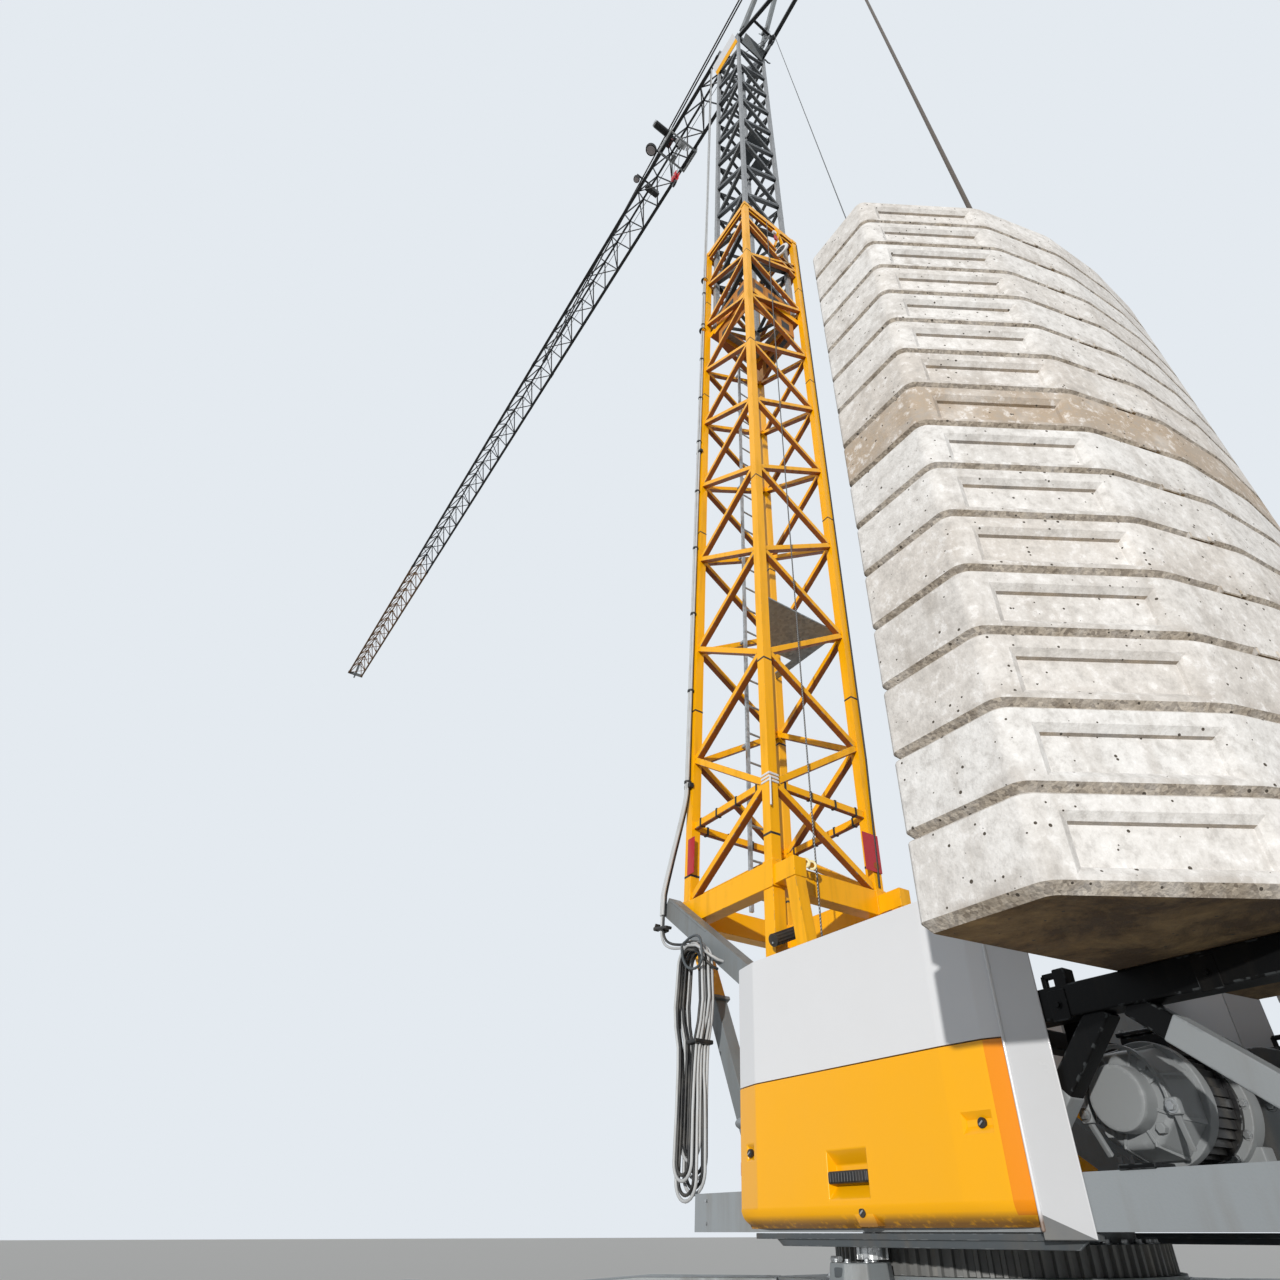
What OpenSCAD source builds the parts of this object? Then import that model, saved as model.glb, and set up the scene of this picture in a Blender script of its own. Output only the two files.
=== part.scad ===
// Self-erecting tower crane, bottom slewing, at half its real size.
// Millimetres. Origin on the ground at the slewing axis, +X along the jib, +Y to the left, +Z up.

/* [Supports] */
// Spacing of the four support feet, both ways
foot_span = 2000; // [1700:50:2300]
// Diameter of a foot plate
foot_plate_d = 300; // [200:10:360]
// Diameter of a support spindle
spindle_d = 60; // [40:2:80]
// Width of an outrigger arm
arm_w = 130; // [90:5:160]
// Height of the arm's top above the ground
arm_top_z = 560; // [540:5:560]

/* [Slewing ring] */
// Outer radius of the toothed ring
ring_r = 366; // [340:2:380]
// Height of the toothed ring
ring_h = 50; // [36:2:56]
// Running gap between the two rings
ring_gap = 0.5; // [0.3:0.1:0.8]

/* [Slewing platform] */
// Height of the platform's underside above the ground
platform_z = 640; // [630:5:680]
// Height of the side beams
beam_h = 75; // [60:5:90]
// Width of the side beams
beam_w = 60; // [40:5:70]
// Distance from the slewing axis to the beam's outer face
platform_half_w = 481; // [475:1:490]
// Length of the platform behind the slewing axis
platform_rear = 1000; // [960:5:1040]
// Length of the platform ahead of the slewing axis
platform_front = 520; // [500:5:560]

/* [Ballast] */
// Height of the ballast's underside above the platform's underside
ballast_lift = 345; // [335:1:360]
// Height of one ballast block
block_h = 144.7; // [130:0.1:160]
// Number of ballast blocks
block_count = 15; // [3:1:16]
// Half the width of a block
block_half_w = 896; // [800:2:940]
// Distance from the slewing axis to a block's front corner
block_front = 652; // [640:2:680]
// Distance from the slewing axis to a block's rear edge
block_rear = 1192; // [1160:2:1240]
// Width of the slot for the rear stay
stay_slot_w = 120; // [80:5:160]

/* [Cover] */
// Distance from the slewing axis to the cover's outer face
cover_y = 523; // [515:1:540]
// Height of the cover's top above the platform's underside
cover_top = 557; // [500:1:600]
// Height of the colour split above the platform's underside
cover_split = 279; // [200:1:320]

/* [Hoist] */
// Distance from the slewing axis back to the drum
hoist_back = 590; // [570:1:600]
// Height of the drum's axis above the platform's underside
hoist_lift = 183; // [178:1:200]
// Radius of the drum's flanges
drum_flange_r = 140; // [110:1:142]
// Length of the drum
drum_len = 300; // [240:5:310]
// Radius of the drum's shaft
drum_shaft_r = 30; // [20:1:36]

/* [Tower] */
// Distance from the slewing axis forward to the tower's axis
tower_x = 686; // [670:1:700]
// Spacing of the outer tower's chords, centre to centre
outer_pitch = 485; // [470:1:500]
// Side of an outer chord
outer_chord = 41; // [34:1:44]
// Height of the outer tower's top
outer_top_z = 6917; // [6860:1:6980]
// Height from one lacing knot to the next on the other chord
half_bay = 299; // [290:1:302]
// Width of an outer lacing bar
outer_lacing = 22; // [16:1:26]
// Spacing of the inner tower's chords, centre to centre
inner_pitch = 388; // [372:1:392]
// Side of an inner chord
inner_chord = 34; // [28:1:38]
// Height of the inner tower's lower end
inner_bottom_z = 5700; // [5660:1:5760]
// Height of the inner tower's top
inner_top_z = 12010; // [11960:1:12060]
// Width of an inner lacing bar
inner_lacing = 18; // [12:1:22]
// Height of the ladder's rung spacing
rung_pitch = 150; // [125:1:150]

/* [Jib] */
// Height of the bottom chords where they cross the tower's axis
jib_z = 12716; // [12680:1:12760]
// Upward slope of the jib, in degrees
jib_slope = 3.5; // [2:0.1:5]
// Distance from the tower's axis to the jib's foot
jib_start = 230; // [225:1:250]
// Distance from the tower's axis to the first section joint
jib_joint_1 = 6012; // [5900:1:6100]
// Distance from the tower's axis to the second section joint
jib_joint_2 = 13145; // [13000:1:13300]
// Distance from the tower's axis to the tip
jib_end = 19300; // [19000:1:19600]
// Spacing of the bottom chords, centre to centre
jib_gauge = 360; // [340:1:380]
// Height of the top chord's centre over the bottom chords
jib_height = 360; // [330:1:390]
// Width of a bottom chord
jib_chord_w = 44; // [40:1:48]
// Height of a bottom chord
jib_chord_h = 26; // [20:1:30]
// Side of the top chord
jib_top_chord = 30; // [24:1:36]
// Width of a jib lacing bar
jib_lacing = 14; // [10:1:16]

/* [Trolley and hook] */
// Distance from the tower's axis to the trolley
trolley_at = 1472; // [1300:1:1900]
// Length of the trolley's frame
trolley_len = 340; // [280:5:400]
// Radius of a trolley wheel
wheel_r = 24; // [20:1:28]
// Clearance of the trolley round the chords
trolley_gap = 6; // [5:0.5:8]
// Drop from the bottom chords to the hook block's axle
hook_drop = 1000; // [900:5:1200]
// Diameter of the hoist rope
rope_d = 8; // [6:0.5:10]
// Distance from the tower's axis to the trolley rope's gear
gear_at = 2190; // [2140:5:2240]
// Distance from the tower's axis to the first floodlight
lamp_1_at = 1800; // [1700:5:1900]
// Distance from the tower's axis to the second floodlight
lamp_2_at = 2260; // [2200:5:2400]

/* [Guying] */
// Distance from the slewing axis back to the rear stay
stay_back = 907; // [890:1:920]
// Height of the rear strut's end
rear_strut_z = 11540; // [11400:5:11700]
// Height of the guy frame's apex
apex_z = 15500; // [15200:10:15800]
// Distance from the slewing axis back to the guy frame's apex
apex_back = 860; // [840:1:880]
// Distance from the first section joint to the jib stays' lower ends
stay_past_joint = 138; // [100:2:300]
// Diameter of a stay
stay_d = 14; // [10:1:18]

/* [Hidden] */

yellow = "#f2b41a";
grey = "#70767a";
black = "#202224";
white = "#e8eaec";
concrete = "#c9c6be";

seat = 0.3;
fit = 0.05;
round_fn = 48;

// Supports
foot_d = norm([foot_span, foot_span]) / 2;
frame_cut = 500;
frame_side = 760;
frame_bottom = 300;
frame_wall = 110;
arm_root_h = 220;
arm_tip_h = 120;
sleeve_r = spindle_d / 2 + 26;
foot_plate_h = 30;
ring_bottom = platform_z - 18 - ring_h;
ring_wall = 66;
turntable_r = ring_r - ring_wall - ring_gap;
turntable_wall = 65;
pinion_r = 32;

// Platform
beam_top = platform_z + beam_h;
inner_y = platform_half_w - beam_w;
plate_t = 14;
carrier_top = platform_z + ballast_lift;
carrier_h = 53;
carrier_w = 53;
carrier_front = 330;
carrier_rear = 1150;
hoist_z = platform_z + hoist_lift;
hoist_bed_h = 28;
motor_face_y = 364;
drum_end_y = 35;
bearing_t = 24;

// Tower
outer_half = outer_pitch / 2;
inner_half = inner_pitch / 2;
foot_beam_h = 87;
foot_beam_w = 60;
lacing_start = 1608;
foot_beam_z = lacing_start - 6 - foot_beam_h;
ring_bar_h = 32;
outer_steps = floor((outer_top_z - 77 - lacing_start) / half_bay);
inner_start = inner_bottom_z + 120;
inner_steps = floor((inner_top_z - 90 - inner_start) / half_bay);
head_z = inner_top_z;
strut_gap = 67.5;
strut_y = outer_half + strut_gap;
strut_ears = [-230, -200];

// Jib
jib_a = [0, -jib_slope, 0];
half_gauge = jib_gauge / 2;
lacing_foot = half_gauge - 12;
lacing_len = norm([lacing_foot, jib_height]);
jib_bay = 420;
jib_end_gap = 18;
bays_1 = round((jib_joint_1 - jib_start) / jib_bay);
bays_2 = round((jib_joint_2 - jib_joint_1) / jib_bay);
bays_3 = round((jib_end - jib_joint_2) / jib_bay);
trolley_side = half_gauge + jib_chord_w / 2 + trolley_gap;
trolley_x = tower_x + trolley_at * cos(jib_slope);
trolley_z = jib_z + trolley_at * sin(jib_slope);
hook_z = trolley_z - hook_drop;
sheave_r = 45;
rope_drop = jib_lacing / 2 + 8 + rope_d / 2;
sheave_line = rope_drop + rope_d / 2 + 1 + sheave_r;
stay_r = stay_d / 2 + 4;
stay_reach = jib_joint_1 + stay_past_joint;
apex_block = [120, 80, 110];
guy_top_x = -apex_back + 24;
root_sheave = [tower_x + 178, 0, jib_z + 178 * sin(jib_slope) - sheave_line + 1];
hook_sheave_r = 54;
fall_x = hook_sheave_r + rope_d / 2 + seat;
fall_sheave_x = (fall_x + sheave_r + rope_d / 2 + seat) / cos(jib_slope);
hook_x = trolley_x + sheave_line * sin(jib_slope);

// Bar of width w and height h from point a to point b
module bar(a, b, w, h) {
    v = b - a;
    l = norm(v);
    translate(a) rotate([0, acos(v.z / l), atan2(v.y, v.x)])
        translate([-h / 2, -w / 2, 0]) cube([h, w, l]);
}

// Round rod of diameter d from point a to point b
module rod(a, b, d, fn = 16) {
    v = b - a;
    l = norm(v);
    translate(a) rotate([0, acos(v.z / l), atan2(v.y, v.x)]) cylinder(d = d, h = l, $fn = fn);
}

// Box from its low corner to its high corner
module block(low, high) {
    translate(low) cube(high - low);
}

// Both the left and the right copy of what is drawn on the left
module both_sides() {
    children();
    mirror([0, 1, 0]) children();
}

// Cylinder along Y from y0 to y1
module cyl_y(x, z, r, y0, y1, fn = round_fn) {
    translate([x, y0, z]) rotate([-90, 0, 0]) cylinder(r = r, h = y1 - y0, $fn = fn);
}

// Outline of a zigzag bar between two chords: knots step apart, sides at plus and minus a
function zigzag(a, step, n, t) = let(
    q = atan2(step, 2 * a), v = t / 2 / cos(q), d = t / 2 / sin(q),
    up = [for (i = [0:n]) each i % 2 == 0
        ? [[a, i * step - (i == 0 ? 0 : v)], [a, i * step + (i == n ? 0 : v)]]
        : [[-a + (i == n ? 0 : d), i * step]]],
    down = [for (i = [n:-1:0]) each i % 2 == 1
        ? [[-a, i * step + (i == n ? 0 : v)], [-a, i * step - v]]
        : [[a - d, i * step]]]
) concat(up, down);

// Lacing of one tower side, in the plane of u and z, drawn round the middle of its thickness
module lacing_side(half, chord, z0, n, t) {
    translate([0, 0, z0]) rotate([90, 0, 0]) linear_extrude(height = t, center = true)
        polygon(zigzag(half - chord / 2, half_bay, n, t));
}

module outer_lacing_side() {
    lacing_side(outer_half, outer_chord, lacing_start, outer_steps, outer_lacing);
    translate([0, 0, lacing_start + half_bay])
        cube([outer_pitch - outer_chord, 18, ring_bar_h], center = true);
}

module inner_lacing_side() {
    lacing_side(inner_half, inner_chord, inner_start, inner_steps, inner_lacing);
}

module undercarriage_frame() color(grey) {
    difference() {
        intersection() {
            block([-frame_side / 2, -frame_side / 2, frame_bottom],
                [frame_side / 2, frame_side / 2, ring_bottom - 12]);
            rotate(45) block([-frame_cut, -frame_cut, 0], [frame_cut, frame_cut, ring_bottom]);
        }
        block([-frame_side / 2 + frame_wall, -frame_side / 2 + frame_wall, 0],
            [frame_side / 2 - frame_wall, frame_side / 2 - frame_wall, ring_bottom + 1]);
    }
    difference() {
        union() {
            translate([0, 0, ring_bottom - 12]) cylinder(r = ring_r + 14, h = 12, $fn = 96);
            for (q = [0, 90]) rotate(q)
                block([-frame_side / 2 + 20, -45, frame_bottom + 60],
                    [frame_side / 2 - 20, 45, ring_bottom - 12]);
        }
        translate([0, 0, frame_bottom]) cylinder(r = ring_r - ring_wall - 60, h = 400, $fn = 64);
    }
}

module outrigger_arm() {
    tip = foot_d;
    difference() {
        union() {
            rotate([90, 0, 0]) linear_extrude(height = arm_w, center = true) polygon([
                [frame_cut, arm_top_z - arm_root_h], [frame_cut, arm_top_z], [frame_cut + 320, arm_top_z],
                [tip, arm_top_z - 40], [tip, arm_top_z - 40 - arm_tip_h],
                [frame_cut + 320, arm_top_z - arm_root_h],
            ]);
            translate([tip, 0, arm_top_z - 50 - arm_tip_h])
                cylinder(r = sleeve_r, h = arm_tip_h + 20, $fn = round_fn);
        }
        translate([tip, 0, 0]) cylinder(d = spindle_d + 2 * seat, h = 1000, $fn = round_fn);
    }
}

module outrigger_arms() color(grey) for (q = [45:90:315]) rotate(q) outrigger_arm();

module support_feet() color(grey) for (q = [45:90:315]) rotate(q) translate([foot_d, 0, 0]) {
    cylinder(d = foot_plate_d, h = foot_plate_h, $fn = round_fn);
    cylinder(d = foot_plate_d * 0.5, h = foot_plate_h + 40, $fn = round_fn);
    cylinder(d = spindle_d, h = arm_top_z - 12, $fn = round_fn);
    translate([0, 0, arm_top_z - 50 - arm_tip_h - 40 - seat]) cylinder(r = sleeve_r - 6, h = 40, $fn = 6);
}

module slewing_ring() color("#3a3c3e") difference() {
    translate([0, 0, ring_bottom]) cylinder(r = ring_r, h = ring_h, $fn = 128);
    translate([0, 0, ring_bottom - 1]) cylinder(r = ring_r - ring_wall, h = ring_h + 2, $fn = 128);
}

module platform_frame() color(grey) {
    for (s = [-1, 1]) block([-platform_rear, s > 0 ? inner_y : -platform_half_w, platform_z],
        [platform_front, s > 0 ? platform_half_w : -inner_y, beam_top]);
    for (x = [-platform_rear, -hoist_back + 190, -260, 170, 400, platform_front - 60])
        block([x, -inner_y - 1, platform_z], [x + 60, inner_y + 1, beam_top]);
    for (x = [-hoist_back - 90, -hoist_back + 40])
        block([x, -inner_y - 1, platform_z + 2], [x + 50, inner_y + 1, platform_z + hoist_bed_h]);
    for (s = [-1, 1]) block([-platform_rear + 10, s * 170 - 22, platform_z],
        [platform_front - 10, s * 170 + 22, platform_z + 24]);
    difference() {
        translate([0, 0, platform_z]) cylinder(r = ring_r - 10, h = plate_t, $fn = 96);
        translate([0, 0, platform_z - 1]) cylinder(r = 150, h = plate_t + 2, $fn = 64);
    }
    difference() {
        translate([0, 0, ring_bottom + 8])
            cylinder(r = turntable_r, h = platform_z - ring_bottom - 7, $fn = 128);
        translate([0, 0, ring_bottom]) cylinder(r = turntable_r - turntable_wall, h = 100, $fn = 128);
    }
    both_sides() {
        for (x = strut_ears) block([x, strut_y - 26, beam_top - 1], [x + 12, strut_y + 26, beam_top + 70]);
        block([-stay_back - 40, stay_r + seat, platform_z],
            [-stay_back + 40, stay_r + seat + 12, platform_z + 120]);
    }
    block([-platform_rear + 5, -60, platform_z], [-stay_back + 60, 60, platform_z + 20]);
}

module ballast_carrier() color(black) both_sides() {
    block([-carrier_rear, platform_half_w - carrier_w, carrier_top - carrier_h],
        [-carrier_front, platform_half_w, carrier_top]);
    y = platform_half_w - carrier_w / 2;
    difference() {
        union() {
            bar([-hoist_back - 100, y, carrier_top - carrier_h + 5],
                [-hoist_back + 160, y, beam_top - 30], 40, 40);
            bar([-hoist_back - 128, y, carrier_top - carrier_h + 5],
                [-platform_rear - 10, y, beam_top - 30], 40, 40);
            block([-carrier_front - 50, y - 20, beam_top - 5],
                [-carrier_front - 10, y + 20, carrier_top - carrier_h + 5]);
        }
        block([-platform_rear - 200, y - 60, platform_z - 50], [0, y + 60, beam_top]);
    }
    for (x = [-carrier_rear + 40, -carrier_front - 70])
        block([x, -0.5, carrier_top - carrier_h + 8],
            [x + 46, platform_half_w - carrier_w + 1, carrier_top - 8]);
}

// Half outline of a ballast block, from its front corner round to the middle of its rear edge
block_side = [
    [-block_front, block_half_w], [-block_front - 226, block_half_w], [-block_front - 432, 584],
    [-block_front - 512, 334], [-block_rear, 109],
];
block_outline = concat(
    block_side, [for (i = [4:-1:0]) [block_side[i].x, -block_side[i].y]],
    [
        [-block_front - 101, -stay_slot_w / 2], [-stay_back - stay_slot_w / 2, -stay_slot_w / 2],
        [-stay_back - stay_slot_w / 2, stay_slot_w / 2], [-block_front - 101, stay_slot_w / 2],
    ]
);

module ballast_block(i) {
    translate([0, 0, carrier_top + i * block_h]) linear_extrude(height = block_h) polygon(block_outline);
}

module ballast_blocks_odd() color(concrete) for (i = [0:2:block_count - 1]) ballast_block(i);

module ballast_blocks_even() color(concrete) for (i = [1:2:block_count - 1]) ballast_block(i);

cover_inner = platform_half_w + 1;
cover_plan = [
    [300, cover_y - 18], [215, cover_y], [-352, cover_y], [-450, cover_y - 5], [-486, cover_y - 18],
    [-486, cover_inner], [300, cover_inner],
];

module cover_lower_left() color(yellow) intersection() {
    translate([0, 0, platform_z + 6]) linear_extrude(height = cover_split - 6) polygon(cover_plan);
    rotate([90, 0, 90]) translate([0, 0, -600]) linear_extrude(height = 1000) polygon([
        [cover_inner, platform_z + 6], [cover_y - 30, platform_z + 6], [cover_y, platform_z + 26],
        [cover_y, platform_z + cover_split], [cover_inner, platform_z + cover_split],
    ]);
}

module cover_upper_left() color(white)
    translate([0, 0, platform_z + cover_split])
        linear_extrude(height = cover_top - cover_split) polygon(cover_plan);

module cover_end_left() color(white) translate([0, 0, platform_z - 10])
    linear_extrude(height = cover_top + 10) polygon([
        [-486 - seat, cover_y - 18], [-566, cover_inner + 3], [-566, cover_inner], [-486 - seat, cover_inner],
    ]);

module cover_lower_right() mirror([0, 1, 0]) cover_lower_left();

module cover_upper_right() mirror([0, 1, 0]) cover_upper_left();

module cover_end_right() mirror([0, 1, 0]) cover_end_left();

module switch_cabinets() color(grey) both_sides()
    block([-325, 360, beam_top], [-80, cover_inner - seat, platform_z + cover_top - 20]);

module slewing_drive() color(grey) translate([0, ring_r + pinion_r + 1, 0]) {
    difference() {
        translate([0, 0, ring_bottom + 8]) cylinder(r = 50, h = 42, $fn = 6);
        translate([0, -ring_r - pinion_r - 1, 0]) cylinder(r = ring_r + 5, h = 900, $fn = 128);
    }
    translate([0, 0, ring_bottom + 50]) cylinder(r = 14, h = 58, $fn = 24);
    block([-50, -110, beam_top - 60], [50, inner_y - ring_r - pinion_r - 1 - seat, beam_top + 20]);
    translate([0, 0, beam_top + 20]) cylinder(r = 40, h = 200, $fn = round_fn);
}

module hoist_motor() color("#5c6165") {
    cyl_y(-hoist_back, hoist_z, 62, motor_face_y - 40, motor_face_y);
    cyl_y(-hoist_back, hoist_z, 96, motor_face_y - 130, motor_face_y - 40);
    cyl_y(-hoist_back, hoist_z, 84, 110, motor_face_y - 130);
    difference() {
        union() {
            cyl_y(-hoist_back, hoist_z, 104, drum_end_y + 6, 110);
            block([-hoist_back - 90, drum_end_y + 6, platform_z + hoist_bed_h],
                [-hoist_back + 90, drum_end_y + 50, hoist_z]);
        }
        cyl_y(-hoist_back, hoist_z, drum_shaft_r + fit, drum_end_y, 80);
    }
    difference() {
        block([-hoist_back - 90, -drum_len + drum_end_y - 6 - bearing_t, platform_z + hoist_bed_h],
            [-hoist_back + 90, -drum_len + drum_end_y - 6, hoist_z + 60]);
        cyl_y(-hoist_back, hoist_z, drum_shaft_r + fit, -drum_len - 50, 0);
    }
}

module hoist_drum() color("#3c4043") {
    cyl_y(-hoist_back, hoist_z, drum_flange_r - 45, drum_end_y - drum_len, drum_end_y);
    cyl_y(-hoist_back, hoist_z, drum_flange_r, drum_end_y - drum_len, drum_end_y - drum_len + 12);
    cyl_y(-hoist_back, hoist_z, drum_flange_r, drum_end_y - 12, drum_end_y);
    cyl_y(-hoist_back, hoist_z, drum_shaft_r, drum_end_y - drum_len - 40, 70);
}

module tower_foot() color(yellow) {
    z0 = foot_beam_z;
    z1 = foot_beam_z + foot_beam_h;
    w = foot_beam_w / 2;
    difference() {
        block([tower_x - outer_half - w, -outer_half - w, z0],
            [tower_x + outer_half + w, outer_half + w, z1]);
        block([tower_x - outer_half + w, -outer_half + w, z0 - 1],
            [tower_x + outer_half - w, outer_half - w, z1 + 1]);
    }
    both_sides() {
        bar([tower_x - outer_half, outer_half, beam_top],
            [tower_x - outer_half, outer_half, z0 + 20], 50, 50);
        difference() {
            union() {
                bar([340, outer_half, z0 + 30], [200, outer_half, beam_top - 40], 44, 46);
                bar([tower_x + outer_half - 20, outer_half, z0 + 30],
                    [500, outer_half, beam_top - 40], 46, 48);
                block([310, outer_half - 26, z0 + 6], [tower_x - outer_half, outer_half + 26, z0 + 70]);
            }
            block([0, 0, platform_z - 100], [900, 400, beam_top]);
        }
    }
}

module foot_struts() color(grey) both_sides() difference() {
    bar([tower_x + outer_half + 30, strut_y, foot_beam_z + 70],
        [-206, strut_y, beam_top + 30], 50, 64);
    block([tower_x + outer_half - 60, strut_y - 60, foot_beam_z + 95],
            [tower_x + outer_half + 90, strut_y + 60, foot_beam_z + 300]);
    for (x = strut_ears) block([x - seat, strut_y - 40, beam_top - 50],
        [x + 12 + seat, strut_y + 40, beam_top + 71]);
}

module outer_tower_chords() color(yellow) {
    z1 = foot_beam_z + foot_beam_h;
    w = outer_chord / 2;
    for (x = [-1, 1], y = [-1, 1])
        translate([tower_x + x * outer_half - w, y * outer_half - w, z1])
            cube([outer_chord, outer_chord, outer_top_z - z1]);
    difference() {
        block([tower_x - outer_half - w, -outer_half - w, outer_top_z - 60],
            [tower_x + outer_half + w, outer_half + w, outer_top_z]);
        block([tower_x - outer_half + w - 6, -outer_half + w - 6, outer_top_z - 70],
            [tower_x + outer_half - w + 6, outer_half - w + 6, outer_top_z + 10]);
    }
    for (y = [-1, 1]) translate([tower_x, y * (inner_half), inner_bottom_z - 30])
        cube([outer_pitch - outer_chord, 40, 60], center = true);
    for (x = [-1, 1]) translate([tower_x + x * (outer_half - w - 20), 0, inner_bottom_z - 30])
        cube([40, outer_pitch - outer_chord + 2, 60], center = true);
}

module outer_tower_left() color(yellow) translate([tower_x, outer_half, 0]) outer_lacing_side();

module outer_tower_right() color(yellow)
    translate([tower_x, -outer_half, 0]) rotate(180) outer_lacing_side();

module outer_tower_front() color(yellow)
    translate([tower_x + outer_half, 0, 0]) rotate(90) outer_lacing_side();

module outer_tower_rear() color(yellow)
    translate([tower_x - outer_half, 0, 0]) rotate(-90) outer_lacing_side();

module inner_tower_chords() color("#9aa0a3") {
    w = inner_chord / 2;
    plate = inner_pitch + inner_chord - 4;
    for (x = [-1, 1], y = [-1, 1])
        translate([tower_x + x * inner_half - w, y * inner_half - w, inner_bottom_z])
            cube([inner_chord, inner_chord, inner_top_z - inner_bottom_z]);
    translate([tower_x, 0, inner_bottom_z]) difference() {
        translate([-plate / 2, -plate / 2, 0]) cube([plate, plate, 12]);
        cube([inner_pitch - 100, inner_pitch - 100, 40], center = true);
    }
}

module inner_tower_left() color(grey) translate([tower_x, inner_half, 0]) inner_lacing_side();

module inner_tower_right() color(grey) translate([tower_x, -inner_half, 0]) rotate(180) inner_lacing_side();

module inner_tower_front() color(grey) translate([tower_x + inner_half, 0, 0]) rotate(90) inner_lacing_side();

module inner_tower_rear() color(grey) translate([tower_x - inner_half, 0, 0]) rotate(-90) inner_lacing_side();

ladder_x = tower_x + 190;
ladder_w = 150;
ladder_y = -80;
// Height above a knot at which the front lacing crosses the plane y, on a bar that falls to the right
function lacing_cross(y) = half_bay * (outer_half - outer_chord / 2 - y) / (outer_pitch - outer_chord);

module ladder() color(grey) {
    for (s = [-1, 1], k = [0:2:outer_steps - 5]) {
        y = ladder_y + s * ladder_w / 2;
        z = lacing_start + k * half_bay + lacing_cross(y);
        block([ladder_x, y - 6, z - 6], [tower_x + outer_half - outer_lacing / 2 - seat, y + 6, z + 6]);
    }
    for (s = [-1, 1]) translate([ladder_x - 6, ladder_y + s * ladder_w / 2 - 8, lacing_start])
        cube([12, 16, inner_bottom_z - 60 - lacing_start]);
    for (z = [lacing_start + 60:rung_pitch:inner_bottom_z - 100])
        translate([ladder_x, ladder_y - ladder_w / 2, z]) rotate([-90, 0, 0])
            cylinder(d = 10, h = ladder_w, $fn = 8);
}

rest_z = 2830;
rest_half = outer_half - outer_lacing / 2 - seat;

module rest_platform() color(grey) difference() {
    translate([tower_x, 0, rest_z]) linear_extrude(height = 8)
        polygon([[-rest_half, -rest_half], [rest_half, -rest_half], [-rest_half, rest_half]]);
    for (x = [-1, 1], y = [-1, 1]) translate([tower_x + x * outer_half, y * outer_half, rest_z])
        cube([outer_chord + 2 * seat, outer_chord + 2 * seat, 40], center = true);
    block([ladder_x - 130, ladder_y - 110, rest_z - 1], [ladder_x + 60, ladder_y + 110, rest_z + 9]);
}

module tower_head() color(grey) {
    w = inner_half + inner_chord / 2;
    difference() {
        block([tower_x - w, -w, head_z], [tower_x + w, w, head_z + 110]);
        block([tower_x - w + 40, -w + 40, head_z - 1], [tower_x + w - 40, w - 40, head_z + 111]);
    }
    both_sides() {
        bar([tower_x + w - 20, w - 18, head_z + 90],
            [tower_x + jib_start - 40, half_gauge - 16, jib_z + 16], 30, 56);
        bar([tower_x - w + 30, w - 17, head_z + 80],
            [tower_x + jib_start - 36, half_gauge - 15, jib_z], 26, 46);
    }
    translate([tower_x, 0, jib_z]) rotate(jib_a)
        block([jib_start - 50, -half_gauge - 20, -8], [jib_start - seat, half_gauge + 20, 34]);
    translate([root_sheave.x, 0, root_sheave.z]) {
        cyl_y(0, 0, sheave_r, -12, 12);
        cyl_y(0, 0, 12, -half_gauge + 12, half_gauge - 12);
    }
}

// A place on the left leg's centre line, t of the way from its foot to the apex.
function leg_at(t) = [
    (tower_x - inner_half + 50) * (1 - t) + guy_top_x * t,
    (inner_half - 30) * (1 - t) + 20 * t,
    (head_z + 60) * (1 - t) + (apex_z - 60) * t
];

module guy_frame() color(grey) {
    w = inner_half - 30;
    difference() {
        both_sides()
            {
                bar([tower_x - inner_half + 50, w, head_z + 60], [guy_top_x, 20, apex_z - 60], 24, 60);
                bar(leg_at(0.07), leg_at(0.82), 44, 84);
            }
        block([tower_x - inner_pitch, -inner_pitch, head_z], [tower_x + inner_pitch, inner_pitch, head_z + 110]);
    }
    translate([-apex_back, 0, apex_z - 60]) cube(apex_block, center = true);
    tie = leg_at(0.35);
    block([tie.x - 16, -tie.y, tie.z - 16], [tie.x + 16, tie.y, tie.z + 16]);
}

module rear_strut() color(black) {
    x1 = tower_x - inner_half - inner_chord / 2 - seat;
    difference() {
        both_sides()
            bar([x1 + 30, inner_half - 10, strut_root_z], [-stay_back + 20, 24, rear_strut_z], 40, 46);
        block([x1, -inner_pitch, rear_strut_z], [x1 + inner_half, inner_pitch, jib_z]);
    }
    translate([-stay_back, 0, rear_strut_z]) cube([60, 70, 60], center = true);
    s = head_sheave.x + 60;
    both_sides() translate([s, 0, 0]) {
        block([-14, -1, leg_z(s) - 14], [14, leg_y(s), leg_z(s) + 14]);
    }
    block([s - 26, head_sheave.y - 16, head_sheave.z - 26], [s + 26, head_sheave.y - 6, leg_z(s) + 10]);
    cyl_y(s, head_sheave.z, 60 - rope_d / 2 - seat, head_sheave.y - 6.5, head_sheave.y + 6.5);
    cyl_y(s, head_sheave.z, 12, head_sheave.y - 16, head_sheave.y + 10);
}

module rear_stay() color("#6a5a4c") {
    rod([-stay_back, 0, platform_z + 60], [-stay_back, 0, rear_strut_z - 30 - seat], 2 * stay_r);
    rod([-stay_back, 0, rear_strut_z + 30 + seat], [-apex_back, 0, apex_z - 60 - apex_block.z / 2 - seat],
        2 * stay_r);
}

function jib_point(x, y, z) = [
    tower_x + x * cos(jib_slope) - z * sin(jib_slope), y, jib_z + x * sin(jib_slope) + z * cos(jib_slope)
];

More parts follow.
